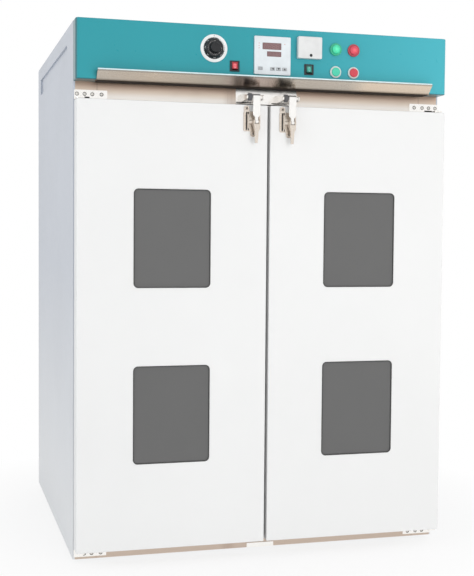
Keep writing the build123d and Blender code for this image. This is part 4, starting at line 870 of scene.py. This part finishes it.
def run_tree(tree, name, points, facing, body, finish, sizes, smooth=35.0):
    """Runs a tree on a cloud of points and keeps the result as a plain mesh on a body.

    facing is one direction for all points, or a list with one for each.
    """
    cloud = bpy.data.meshes.new(name + "_points")
    cloud.from_pydata(points, [], [])
    attribute = cloud.attributes.new("facing", "FLOAT_VECTOR", "POINT")
    facings = facing if isinstance(facing, list) else [facing] * len(points)
    for item, direction in zip(attribute.data, facings):
        item.vector = direction
    obj = bpy.data.objects.new(name, cloud)
    bpy.context.scene.collection.objects.link(obj)
    modifier = obj.modifiers.new("Details", "NODES")
    modifier.node_group = tree
    for item in tree.interface.items_tree:
        if item.in_out == "INPUT" and item.name in sizes:
            modifier[item.identifier] = sizes[item.name]
        if item.in_out == "INPUT" and item.name == "Material":
            modifier[item.identifier] = MATERIALS[finish]
    evaluated = obj.evaluated_get(bpy.context.evaluated_depsgraph_get())
    mesh = bpy.data.meshes.new_from_object(evaluated)
    obj.modifiers.remove(modifier)
    obj.data = mesh
    bpy.data.meshes.remove(cloud)
    smooth_by_angle(mesh, smooth)
    paint(obj, MATERIALS[finish])
    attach(obj, body)
    return obj


def screw_tree():
    """Domed screw heads with a cross recess."""
    net, start, (radius, height) = geometry_tree("screw_heads", {"Head Radius": 0.004, "Head Height": 0.002})
    ball = net.add("GeometryNodeMeshUVSphere", {"Segments": 20, "Rings": 10, "Radius": 1.0})
    dome = moved(net, ball.outputs[0], Scale=net.combine(radius, radius, height))
    thin, long, shallow = net.times(radius, 0.26), net.times(radius, 1.15), net.times(height, 0.94)
    bars = []
    for size in ((thin, long, height), (long, thin, shallow)):
        bar = net.add("GeometryNodeMeshCube", {"Size": net.combine(*size)})
        bars.append(moved(net, bar.outputs[0], Translation=net.combine(0.0, 0.0, height)))
    return close_tree(net, start, cut_away(net, dome, bars))


def shade_ring_tree():
    """Flat rings round each point, square to its facing."""
    sizes = {"Outer Radius": 0.0047, "Inner Radius": 0.0034, "Thickness": 0.0004}
    net, start, (outer, inner, thickness) = geometry_tree("screw_shade_rings", sizes)
    disc = net.add("GeometryNodeMeshCylinder", {"Vertices": 32, "Radius": outer, "Depth": thickness})
    tall = net.times(thickness, 3.0)
    bore = net.add("GeometryNodeMeshCylinder", {"Vertices": 32, "Radius": inner, "Depth": tall})
    return close_tree(net, start, cut_away(net, disc.outputs[0], [bore.outputs[0]]))


def tick_tree():
    """Marks along an arc of a dial, every fifth one longer; the arc lies in the XZ plane."""
    sizes = {"Count": 31, "Radius": 0.03, "Length": 0.003, "Width": 0.0006, "Sweep": 4.7, "Start": 0.0}
    net, start, (count, radius, length, width, sweep, first) = geometry_tree("dial_marks", sizes)
    arc = net.add("GeometryNodeCurveArc", {"Resolution": count, "Radius": radius, "Start Angle": first,
                                           "Sweep Angle": sweep})
    points = net.add("GeometryNodeCurveToPoints", {"Curve": arc.outputs[0], "Count": count}, mode="COUNT")
    bar = net.add("GeometryNodeMeshCube", {"Size": net.combine(width, length, width)})
    position = net.add("GeometryNodeInputPosition")
    turn = net.add("FunctionNodeAlignRotationToVector", {"Vector": position.outputs[0]}, axis="Y")
    index = net.add("GeometryNodeInputIndex")
    major = net.math("LESS_THAN", net.math("MODULO", index.outputs[0], 5.0), 0.5)
    inputs = {"Points": points.outputs[0], "Instance": bar.outputs[0], "Rotation": turn.outputs[0],
              "Scale": net.combine(1.0, net.plus(major, 1.0), 1.0)}
    marks = net.add("GeometryNodeInstanceOnPoints", inputs)
    upright = moved(net, marks.outputs[0], Rotation=(pi / 2, 0.0, 0.0))
    return close_tree(net, start, upright, aligned=False)


def fin_tree():
    """Round fins threaded on a tube, square to each point's facing."""
    net, start, (radius, thickness) = geometry_tree("tube_fins", {"Radius": 0.012, "Thickness": 0.0008})
    disc = net.add("GeometryNodeMeshCylinder", {"Vertices": 24, "Radius": radius, "Depth": thickness})
    return close_tree(net, start, disc.outputs[0])


def louvre_tree():
    """Pressed hoods with a wall, open underneath: the upper outer quarter of a stretched ball."""
    sizes = {"Length": 0.08, "Height": 0.01, "Depth": 0.006, "Wall": 0.0012}
    net, start, (length, height, depth, wall) = geometry_tree("pressed_louvres", sizes)
    sphere = net.add("GeometryNodeMeshUVSphere", {"Segments": 32, "Rings": 15, "Radius": 1.0})
    ball = moved(net, sphere.outputs[0], Rotation=(0.0, 0.0, pi / 32))

    def stretched(thinner):
        half = net.minus(net.times(length, 0.5), thinner)
        size = net.combine(half, net.minus(depth, thinner), net.minus(height, thinner))
        return moved(net, ball, Scale=size)

    cutter = net.add("GeometryNodeMeshCube", {"Size": (1.0, 1.0, 1.0)}).outputs[0]
    below = moved(net, cutter, Translation=(0.0, 0.0, -0.5))
    inside = moved(net, cutter, Translation=(0.0, -0.5, 0.0))
    hood = cut_away(net, stretched(0.0), [stretched(wall), below, inside])
    return close_tree(net, start, hood, aligned=False)


def segment_tree():
    """Flat bars with pointed ends, laid along each point's facing: the segments of a numeric display."""
    sizes = {"Length": 0.004, "Width": 0.0009, "Thickness": 0.0002}
    net, start, (length, width, thickness) = geometry_tree("display_segments", sizes)
    hexagon = net.add("GeometryNodeMeshCylinder", {"Vertices": 6, "Radius": 1.0, "Depth": thickness})
    x, y, z = net.parts(net.add("GeometryNodeInputPosition").outputs[0])
    straight = net.minus(net.times(length, 0.5), width)
    along = net.plus(net.times(x, width), net.times(net.math("SIGN", x), straight))
    across = net.times(y, net.times(width, 0.5 / sin(pi / 3)))
    inputs = {"Geometry": hexagon.outputs[0], "Position": net.combine(across, z, along)}
    return close_tree(net, start, net.add("GeometryNodeSetPosition", inputs).outputs[0])


# Operators

def seen_plainly(net):
    """1 for what the camera sees itself, through glass or in a mirror."""
    path = net.add("ShaderNodeLightPath")
    seen = net.greater(path.outputs["Is Camera Ray"], path.outputs["Is Transmission Ray"])
    return net.greater(seen, path.outputs["Is Glossy Ray"])


class OVEN_OT_stage(bpy.types.Operator):
    """Sets the floor, the soft light and the camera"""
    bl_idname = "oven.stage"
    bl_label = "Stage"

    def execute(self, context):
        stage = context.scene.oven_stage
        context.scene.view_settings.view_transform = "Standard"
        self.make_world(context.scene, stage)
        self.make_floor(context.scene, stage)
        self.make_lights(context.scene, stage)
        self.make_camera(context.scene, stage)
        return {"FINISHED"}

    def make_world(self, scene, stage):
        world = bpy.data.worlds.new("studio")
        world.use_nodes = True
        scene.world = world
        net = Net(world.node_tree)
        background = world.node_tree.nodes["Background"]
        seen = seen_plainly(net)
        height = net.parts(net.add("ShaderNodeTexCoord").outputs["Generated"])[2]
        glow = net.ramp(height, -0.25, 0.75)
        soft = net.times(net.plus(net.times(glow, 0.5), 0.75), stage.sky)
        net.set(background.inputs["Color"], (1.0, 1.0, 1.0, 1.0))
        net.set(background.inputs["Strength"], net.plus(seen, net.times(net.rest(seen), soft)))

    def make_floor(self, scene, stage):
        edit = bmesh.new()
        bmesh.ops.create_circle(edit, cap_ends=True, radius=9.0, segments=96)
        floor = bpy.data.objects.new("floor", mesh_from(edit, "floor"))
        scene.collection.objects.link(floor)
        material, net, shader, place = new_material("floor_paint", roughness=0.6)
        mottle = net.times(net.noise(place, 3.0, 4.0), 0.12)
        net.set(shader.inputs["Base Color"], net.mix(mottle, tuple(stage.floor), (0.8, 0.8, 0.8)))
        far = net.ramp(net.vector("LENGTH", place, output="Value"), 0.55, 1.05)
        white = net.add("ShaderNodeEmission", {"Color": (1, 1, 1, 1), "Strength": 1.0})
        whiten = net.times(net.plus(net.times(far, 0.2), 0.8), seen_plainly(net))
        blend = net.add("ShaderNodeMixShader", {0: whiten, 1: shader.outputs[0], 2: white.outputs[0]})
        net.set(material.node_tree.nodes["Material Output"].inputs["Surface"], blend.outputs[0])
        floor.data.materials.append(material)
        floor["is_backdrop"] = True

    def make_lights(self, scene, stage):
        def lamp(name, place, target, size, power, colour, mirrored=True):
            data = bpy.data.lights.new(name, "AREA")
            data.shape = "RECTANGLE"
            data.size, data.size_y = size
            data.energy = power
            data.color = colour
            obj = bpy.data.objects.new(name, data)
            obj.location = place
            obj.visible_glossy = mirrored
            obj.rotation_euler = (Vector(target) - Vector(place)).to_track_quat("-Z", "Y").to_euler()
            scene.collection.objects.link(obj)

        lamp("key", (1.1, -4.2, 1.3), (0.0, 0.0, 0.7), (2.8, 2.4), stage.key, (1.0, 0.99, 0.975),
             mirrored=False)
        lamp("fill", (-3.4, -1.2, 2.0), (0.0, 0.0, 0.7), (2.4, 2.4), stage.fill, (0.93, 0.96, 1.0))

    def make_camera(self, scene, stage):
        yaw, pitch, roll = stage.camera_yaw, stage.camera_pitch, stage.camera_roll
        forward = Vector((sin(yaw) * cos(pitch), cos(yaw) * cos(pitch), sin(pitch)))
        level = Vector((cos(yaw), -sin(yaw), 0.0))
        upright = level.cross(forward)
        right = level * cos(roll) + upright * sin(roll)
        up = upright * cos(roll) - level * sin(roll)
        turn = Matrix((right, up, -forward)).transposed().to_4x4()
        data = bpy.data.cameras.new("camera")
        data.sensor_width = 36.0
        data.lens = stage.lens
        camera = bpy.data.objects.new("camera", data)
        place = Vector((stage.camera_side, DOOR_FRONT - stage.camera_back, stage.camera_height))
        camera.matrix_world = Matrix.Translation(place) @ turn
        scene.collection.objects.link(camera)
        scene.camera = camera


class OVEN_OT_finishes(bpy.types.Operator):
    """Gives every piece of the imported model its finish"""
    bl_idname = "oven.finishes"
    bl_label = "Finishes"

    def execute(self, context):
        make_materials()
        for name, obj in frame["nodes"].items():
            paint(obj, MATERIALS[finish_of(name)])
        return {"FINISHED"}


class OVEN_OT_hardware(bpy.types.Operator):
    """Rounds the edges of the latches, plates, trim and small switches"""
    bl_idname = "oven.hardware"
    bl_label = "Hardware"

    def execute(self, context):
        width = context.scene.oven_details.soft_edge
        for node in BODY_OF:
            if node not in PLAIN:
                softened(node, width if node in SOFT_EDGED else 0.0)
        return {"FINISHED"}


class OVEN_OT_screws(bpy.types.Operator):
    """Sets the casing's screws along the rear and top covers"""
    bl_idname = "oven.screws"
    bl_label = "Casing screws"

    def execute(self, context):
        details = context.scene.oven_details
        tree = screw_tree()
        sizes = {"Head Radius": details.screw_radius, "Head Height": details.screw_height}
        low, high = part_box("rear_cover")
        inset = 0.014
        points = []
        rows = 6
        for i in range(rows):
            z = low.z + inset + (high.z - low.z - 2 * inset) * i / (rows - 1)
            points += [(low.x + inset, high.y, z), (high.x - inset, high.y, z)]
        across = 5
        for i in range(1, across - 1):
            x = low.x + inset + (high.x - low.x - 2 * inset) * i / (across - 1)
            points += [(x, high.y, low.z + inset), (x, high.y, high.z - inset)]
        run_tree(tree, "rear_cover_screws", points, (0, 1, 0), "cabinet", "screw", sizes)
        low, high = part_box("top_cover")
        points = []
        for i in range(across):
            y = low.y + 0.03 + (high.y - low.y - 0.06) * i / (across - 1)
            points += [(low.x + inset, y, high.z), (high.x - inset, y, high.z)]
        run_tree(tree, "top_cover_screws", points, (0, 0, 1), "cabinet", "screw", sizes)
        return {"FINISHED"}


class OVEN_OT_dial(bpy.types.Operator):
    """Prints plain numbers and marks on the knob's skirt and an index on its ring, and lays a pale arc of
    painted highlight on the skirt's upper right
    """
    bl_idname = "oven.dial"
    bl_label = "Dial"

    def execute(self, context):
        details = context.scene.oven_details
        ring_low, ring_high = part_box("dial_plate")
        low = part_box("temperature_knob")[0]
        middle = (ring_low + ring_high) / 2
        body = BODY_OF["temperature_knob"]
        skirt_front, skirt_back = low.y + 11.0 * MM, low.y + 20.0 * MM
        base_r, top_r = 27.0 * MM, 21.0 * MM
        sweep = radians(270.0)
        sizes = {"Count": details.tick_count, "Radius": 17.2 * MM, "Length": details.tick_length * 0.35,
                 "Width": 0.45 * MM, "Sweep": sweep, "Start": pi / 2}
        run_tree(tick_tree(), "dial_marks", [(middle.x, skirt_front, middle.z)], (0, -1, 0), body,
                 "paint_white", sizes)
        numbers = 6
        for i in range(numbers + 1):
            self.number(str(50 * i), middle, (base_r + top_r) / 2, pi / 2 + sweep * i / numbers,
                        (skirt_front + skirt_back) / 2, body)
        # A pale arc of painted highlight on the skirt's upper right, where the light glints on it.
        slope = (skirt_back - skirt_front) / (base_r - top_r)
        inner, outer, raised, sunk = 22.6 * MM, 25.9 * MM, 0.12 * MM, 0.5 * MM
        near = skirt_front + (inner - top_r) * slope
        far = skirt_front + (outer - top_r) * slope
        profile = [(inner, near - raised), (outer, far - raised), (outer, far + sunk), (inner, near + sunk)]
        lathe("knob_painted_highlight", profile, (middle.x, middle.z), body, "paint_white", segments=24,
              sweep=(radians(-12.0), radians(62.0)))
        rim = (ring_high.x - ring_low.x) / 2
        slab("dial_index", (middle.x - 0.5 * MM, ring_low.y - 0.1 * MM, middle.z + rim - 5.6 * MM),
             (middle.x + 0.5 * MM, ring_low.y + 0.3 * MM, middle.z + rim - 1.6 * MM),
             "cabinet", "ink", 0.08 * MM)
        return {"FINISHED"}

    def number(self, text, middle, radius, angle, y, body):
        """A number printed on the skirt's cone, which leans back by its slope."""
        curve = bpy.data.curves.new("dial_number_" + text, "FONT")
        curve.body = text
        curve.size = 3.6 * MM
        curve.align_x = "CENTER"
        curve.align_y = "CENTER"
        curve.extrude = 0.2 * MM
        holder = bpy.data.objects.new(curve.name, curve)
        bpy.context.scene.collection.objects.link(holder)
        mesh = bpy.data.meshes.new_from_object(holder.evaluated_get(bpy.context.evaluated_depsgraph_get()))
        edit = bmesh.new()
        edit.from_mesh(mesh)
        bmesh.ops.remove_doubles(edit, verts=edit.verts, dist=0.000001)
        edit.to_mesh(mesh)
        edit.free()
        place = Vector((middle.x + radius * cos(angle), y, middle.z + radius * sin(angle)))
        upright = Matrix.Rotation(pi / 2, 4, "X")
        turned = Matrix.Rotation(angle - pi / 2, 4, "Z")
        lean = Matrix.Rotation(radians(-56.3), 4, "X")
        mesh.transform(Matrix.Translation(place) @ upright @ turned @ lean)
        bpy.data.objects.remove(holder)
        bpy.data.curves.remove(curve)
        piece_from(mesh, "dial_number_" + text, body, "paint_white")


class OVEN_OT_controller(bpy.types.Operator):
    """Sets key symbols, small lamps and unlit digits on the temperature controller"""
    bl_idname = "oven.controller"
    bl_label = "Controller"

    def execute(self, context):
        for i in range(1, 5):
            self.key_symbol(i)
        low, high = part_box("controller_housing")
        x, z, y = (low.x + high.x) / 2, (low.z + high.z) / 2, low.y
        for i, (dx, dz) in enumerate(((-36, 30), (-36, 24), (-36, 18), (32, 30))):
            profile = [(0.05 * MM, y + 0.3 * MM), (0.05 * MM, y - 0.5 * MM), (0.8 * MM, y - 0.4 * MM),
                       (1.3 * MM, y), (1.3 * MM, y + 0.3 * MM)]
            lathe(f"status_lamp_{i + 1}", profile, (x + dx * MM, z + dz * MM), "cabinet", "led", segments=24)
        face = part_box("controller_window")[0].y
        self.digits("upper_digits", x - 2 * MM, z + 23.5 * MM, face, 6.4 * MM, 11.0 * MM)
        self.digits("lower_digits", x + 4 * MM, z + 4 * MM, face, 4.8 * MM, 8.2 * MM)
        return {"FINISHED"}

    def key_symbol(self, i):
        low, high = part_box(f"controller_key_{i}")
        x, z = (low.x + high.x) / 2, (low.z + high.z) / 2
        w, h = 3.3 * MM, 2.4 * MM
        ink = "ink"
        if i == 1:
            t = 0.7 * MM
            inner = h - t - 0.02 * MM
            shapes = [rectangle(x - w, z - h, x + w, z - h + t), rectangle(x - w, z + h - t, x + w, z + h),
                      rectangle(x - w, z - inner, x - w + t, z + inner),
                      rectangle(x + w - t, z - inner, x + w, z + inner)]
            ink = "grey_ink"
        elif i == 2:
            shapes = [[(x + w, z - h), (x + w, z + h), (x - w, z)]]
        elif i == 3:
            shapes = [[(x - w, z + h), (x, z - h), (x + w, z + h)]]
        else:
            shapes = [[(x - w, z - h), (x + w, z - h), (x, z + h)]]
        depth = (low.y - 0.12 * MM, low.y + 0.2 * MM)
        plaque(f"key_symbol_{i}", shapes, depth, BODY_OF[f"controller_key_{i}"], ink)

    def digits(self, name, x, z, face, width, height):
        """Four unlit figures of seven segments each, which lean to the right."""
        pitch, lean, run = width * 1.62, 0.12, height / 2
        points, facings = [], []
        for i in range(4):
            cx = x + (i - 1.5) * pitch
            for dz in (-run, 0.0, run):
                points.append((cx + dz * lean, face, z + dz))
                facings.append((1, 0, 0))
            for dx in (-width / 2, width / 2):
                for dz in (-run / 2, run / 2):
                    points.append((cx + dx + dz * lean, face, z + dz))
                    facings.append((lean, 0, 1))
        sizes = {"Length": run * 0.92, "Width": width * 0.16, "Thickness": 0.16 * MM}
        run_tree(segment_tree(), name, points, facings, "cabinet", "segment", sizes)


class OVEN_OT_switch_marks(bpy.types.Operator):
    """Moulds the plain on and off marks on the two rockers"""
    bl_idname = "oven.switch_marks"
    bl_label = "Switch marks"

    def execute(self, context):
        for node in ("red_rocker", "green_rocker"):
            self.marks(node)
        return {"FINISHED"}

    def marks(self, node):
        surface = bmesh.new()
        surface.from_mesh(frame["nodes"][node].data)
        tree = BVHTree.FromBMesh(surface)
        surface.free()
        low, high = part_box(node)
        x, z = (low.x + high.x) / 2, (low.z + high.z) / 2
        for name, dz, shape in (("on", 4.6 * MM, self.bar), ("off", -4.6 * MM, self.ring)):
            place, normal, _, _ = tree.ray_cast(Vector((x, low.y - 0.02, z + dz)), Vector((0, 1, 0)))
            if place is None:
                raise RuntimeError(f"{node} has no face at its {name} mark")
            mesh = shape(f"{node}_{name}_mark")
            turn = normal.to_track_quat("Z", "Y").to_matrix().to_4x4()
            mesh.transform(Matrix.Translation(place) @ turn)
            piece_from(mesh, mesh.name, BODY_OF[node], "white")

    def bar(self, name):
        edit = bmesh.new()
        size = Matrix.Diagonal((0.6 * MM, 2.6 * MM, 0.2 * MM, 1.0))
        bmesh.ops.create_cube(edit, size=1.0, matrix=size)
        bmesh.ops.bevel(edit, geom=edit.edges[:], offset=0.05 * MM, segments=1, affect="EDGES")
        return mesh_from(edit, name)

    def ring(self, name):
        edit = bmesh.new()
        turns, sides, radius, half, raised = 28, 8, 1.1 * MM, 0.25 * MM, 0.12 * MM
        rows = []
        for i in range(turns):
            a = 2 * pi * i / turns
            row = []
            for j in range(sides):
                b = 2 * pi * j / sides
                r = radius + half * cos(b)
                row.append(edit.verts.new((r * cos(a), r * sin(a), raised * sin(b))))
            rows.append(row)
        join_rows(edit, rows, ring=True)
        bmesh.ops.recalc_face_normals(edit, faces=edit.faces)
        mesh = mesh_from(edit, name)
        smooth_by_angle(mesh)
        return mesh


class OVEN_OT_strips(bpy.types.Operator):
    """Lays the dark strips of painted shade under the fascia, at the strike plate, under the keepers and in
    the latch bases, the trim's strip of painted highlight, the dark rings of painted shade round the screws
    and the slots' dark backs of painted shade
    """
    bl_idname = "oven.strips"
    bl_label = "Painted shade and highlight strips"

    def execute(self, context):
        low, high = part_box("fascia_trim")
        # A dark strip of painted shade under the fascia and its trim.
        slab("fascia_shade_strip", (low.x + 2 * MM, DOOR_FRONT + 1 * MM, low.z - 1.4 * MM),
             (high.x - 2 * MM, DOOR_FRONT + 36 * MM, low.z - 0.05 * MM), "cabinet", "underside_shade", 0.4 * MM)
        # A strip of painted highlight along the trim's top edge, where it catches the light.
        slab("trim_highlight_strip", (low.x + 0.5 * MM, low.y + 0.2 * MM, high.z - 0.4 * MM),
             (high.x - 0.5 * MM, low.y + 2.4 * MM, high.z + 3.0 * MM), "cabinet", "painted_highlight", 0.8 * MM)
        self.hinge_details()
        frame_face, door_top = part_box("front_frame")[0].y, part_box("left_door_skin")[1].z
        slab("strike_shadow_gap", (-76 * MM, frame_face - 3.3 * MM, door_top + 4.6 * MM),
             (88 * MM, frame_face - 2.8 * MM, door_top + 7.2 * MM), "cabinet", "hole", 0.2 * MM)
        for side in ("left", "right"):
            self.latch_details(side)
        return {"FINISHED"}

    def hinge_details(self):
        """Dark rings of painted shade round the frame's screws, and dark backs of painted shade in the slots
        beside the tongues.
        """
        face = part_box("front_frame")[0].y
        screws = [(x, z) for x, z in self.loose_centres("frame_screws") if abs(x) > 0.3]
        places = [(x, face - 1.2 * MM, z) for x, z in screws]
        # Rings of painted shade in the counterbores round the screws.
        run_tree(shade_ring_tree(), "screw_shade_rings", places, (0, -1, 0), "cabinet", "hole", {})
        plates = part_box("hinge_plates")
        top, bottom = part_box("left_door_skin")[1].z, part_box("left_door_skin")[0].z
        for side, name in ((-1, "left"), (1, "right")):
            near, far = plates[1].x - 22 * MM, plates[1].x - 41 * MM
            x = sorted((side * (near + 6 * MM), side * (far + 3 * MM)))
            gap, reach = 1.6 * MM, 9 * MM
            for level, z in (("top", (top + gap, top + reach)), ("bottom", (bottom - reach, bottom - gap))):
                # Dark sheets of painted shade behind the slots.
                slab(f"{name}_{level}_slot_painted_shade", (x[0], face - 3.2 * MM, z[0]),
                     (x[1], face + 1.5 * MM, z[1]), "cabinet", "hole", 0.2 * MM)

    def loose_centres(self, node):
        """The centre of each loose part of a CAD node, seen from the front."""
        parts = bmesh.new()
        parts.from_mesh(frame["nodes"][node].data)
        bmesh.ops.remove_doubles(parts, verts=parts.verts, dist=0.00002)
        seen, centres = set(), []
        for vert in parts.verts:
            if vert in seen:
                continue
            island, queue = [], [vert]
            seen.add(vert)
            while queue:
                here = queue.pop()
                island.append(here.co)
                for edge in here.link_edges:
                    other = edge.other_vert(here)
                    if other not in seen:
                        seen.add(other)
                        queue.append(other)
            xs, zs = [co.x for co in island], [co.z for co in island]
            centres.append(((min(xs) + max(xs)) / 2, (min(zs) + max(zs)) / 2))
        parts.free()
        return centres

    def latch_details(self, side):
        """A buffer wheel at the keeper, dark strips of painted shade under the keeper's ears and in the
        latch's base, and screws in its tabs.
        """
        hook_low, hook_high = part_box(side + "_latch_hook")
        x = (hook_low.x + hook_high.x) / 2
        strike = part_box("front_frame")[0].y - 3 * MM
        roller = Vector((0.0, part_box("latch_keepers")[0].y + 6 * MM, hook_high.z - 7.6 * MM))
        self.wheel(side + "_keeper_buffer", (x - 21.5 * MM, x - 11.5 * MM), roller, (2.8 * MM, 9.5 * MM))
        # A dark strip of painted shade under the keeper's ears.
        slab(side + "_keeper_shade_strip", (x - 36 * MM, strike - 3.4 * MM, hook_high.z - 16 * MM),
             (x + 4 * MM, strike - 1.8 * MM, hook_high.z - 14.2 * MM), "cabinet", "rubber", 0.4 * MM)
        low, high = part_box(side + "_latch_base")
        door = BODY_OF[side + "_latch_base"]
        plate = DOOR_FRONT - 2.5 * MM
        # A dark strip of painted shade at the root of the base's wall.
        slab(side + "_latch_shade_strip", (low.x + 6 * MM, plate - 0.8 * MM, low.z + 16 * MM),
             (low.x + 14 * MM, plate + 0.3 * MM, high.z - 16 * MM), door, "rubber", 0.3 * MM)
        tabs = [(low.x + 8 * MM, plate, high.z - 7 * MM), (low.x + 25 * MM, plate, low.z + 7 * MM)]
        sizes = {"Head Radius": 3.9 * MM, "Head Height": 2.6 * MM}
        run_tree(screw_tree(), side + "_latch_screws", tabs, (0, -1, 0), door, "dark_screw", sizes)

    def wheel(self, name, x, axis, radii):
        """A grey rubber ring round the keeper's roller, between two places across."""
        inner, outer = radii
        edge = 1.2 * MM
        profile = [(inner, x[0]), (outer - edge, x[0]), (outer, x[0] + edge), (outer, x[1] - edge),
                   (outer - edge, x[1]), (inner, x[1])]
        obj = lathe(name, profile, (0.0, 0.0), "cabinet", "buffer", segments=48)
        obj.data.transform(Matrix.Translation(axis) @ Matrix.Rotation(-pi / 2, 4, "Z"))


class OVEN_OT_rear_fittings(bpy.types.Operator):
    """Presses louvre hoods over the rear slots and screws on the access plate"""
    bl_idname = "oven.rear_fittings"
    bl_label = "Rear fittings"

    def execute(self, context):
        details = context.scene.oven_details
        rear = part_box("rear_cover")[1].y
        low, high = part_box("fan_wheel")
        middle = (low.z + high.z) / 2
        rows, pitch_x, pitch_z = 10, 90 * MM, 18 * MM
        points = []
        for row in range(rows):
            z = middle + (row - (rows - 1) / 2) * pitch_z - 4 * MM
            points += [(x, rear - 0.1 * MM, z) for x in (-pitch_x, 0.0, pitch_x)]
        sizes = {"Length": 82 * MM, "Height": 10 * MM, "Depth": details.louvre_depth, "Wall": 1.2 * MM}
        run_tree(louvre_tree(), "rear_louvres", points, (0, 1, 0), "cabinet", "casing", sizes)
        plate_low, plate_high = Vector((-0.16, rear, 0.9)), Vector((0.16, rear + 1.2 * MM, 1.12))
        slab("rear_access_plate", plate_low, plate_high, "cabinet", "casing", 0.5 * MM)
        inset = 10 * MM
        points = [(x, plate_high.y, z) for x in (plate_low.x + inset, 0.0, plate_high.x - inset)
                  for z in (plate_low.z + inset, plate_high.z - inset)]
        sizes = {"Head Radius": 3.6 * MM, "Head Height": 1.8 * MM}
        run_tree(screw_tree(), "access_plate_screws", points, (0, 1, 0), "cabinet", "screw", sizes)
        return {"FINISHED"}


class OVEN_OT_heater_fins(bpy.types.Operator):
    """Threads fins on the heating elements"""
    bl_idname = "oven.heater_fins"
    bl_label = "Heater fins"

    def execute(self, context):
        low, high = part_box("heating_elements")
        tube = 0.005
        loops, bend, pitch = 3, 0.044, 0.06
        y = low.y + tube
        points = []
        count = 36
        x0, x1 = low.x + 0.02, high.x - 0.06
        for loop in range(loops):
            for lift in (0.0, bend):
                z = low.z + tube + loop * pitch + lift
                points += [(x0 + (x1 - x0) * i / (count - 1), y, z) for i in range(count)]
        sizes = {"Radius": 0.0068, "Thickness": 0.0007}
        run_tree(fin_tree(), "heater_fins", points, (1, 0, 0), "cabinet", "heater", sizes)
        return {"FINISHED"}


class OVEN_PT_panel(bpy.types.Panel):
    """Lists the oven's builders and their sizes"""
    bl_idname = "OVEN_PT_panel"
    bl_label = "Drying Oven"
    bl_space_type = "VIEW_3D"
    bl_region_type = "UI"
    bl_category = "Oven"

    def draw(self, context):
        for operator in OPERATORS:
            self.layout.operator(operator.bl_idname)
        for group_name in ("oven_finishes", "oven_details", "oven_stage"):
            settings = getattr(context.scene, group_name)
            box = self.layout.box()
            for prop in settings.bl_rna.properties:
                if prop.identifier not in ("rna_type", "name"):
                    box.prop(settings, prop.identifier)


OPERATORS = (OVEN_OT_stage, OVEN_OT_finishes, OVEN_OT_hardware, OVEN_OT_screws, OVEN_OT_dial,
             OVEN_OT_controller, OVEN_OT_switch_marks, OVEN_OT_strips, OVEN_OT_rear_fittings,
             OVEN_OT_heater_fins)
SETTINGS = {"oven_finishes": OvenFinishes, "oven_details": OvenDetails, "oven_stage": OvenStage}


def register():
    for cls in (*SETTINGS.values(), *OPERATORS, OVEN_PT_panel):
        bpy.utils.register_class(cls)
    for name, cls in SETTINGS.items():
        setattr(bpy.types.Scene, name, PointerProperty(type=cls))


def unregister():
    for name in SETTINGS:
        delattr(bpy.types.Scene, name)
    for cls in reversed((*SETTINGS.values(), *OPERATORS, OVEN_PT_panel)):
        bpy.utils.unregister_class(cls)


def corners(box):
    return [list(map(float, corner)) for corner in box]


def main():
    register()
    for operator in OPERATORS:
        family, name = operator.bl_idname.split(".")
        getattr(getattr(bpy.ops, family), name)()
    {"cad": corners(CAD_BOX), "visual": corners(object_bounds())}


if __name__ == "__main__":
    main()
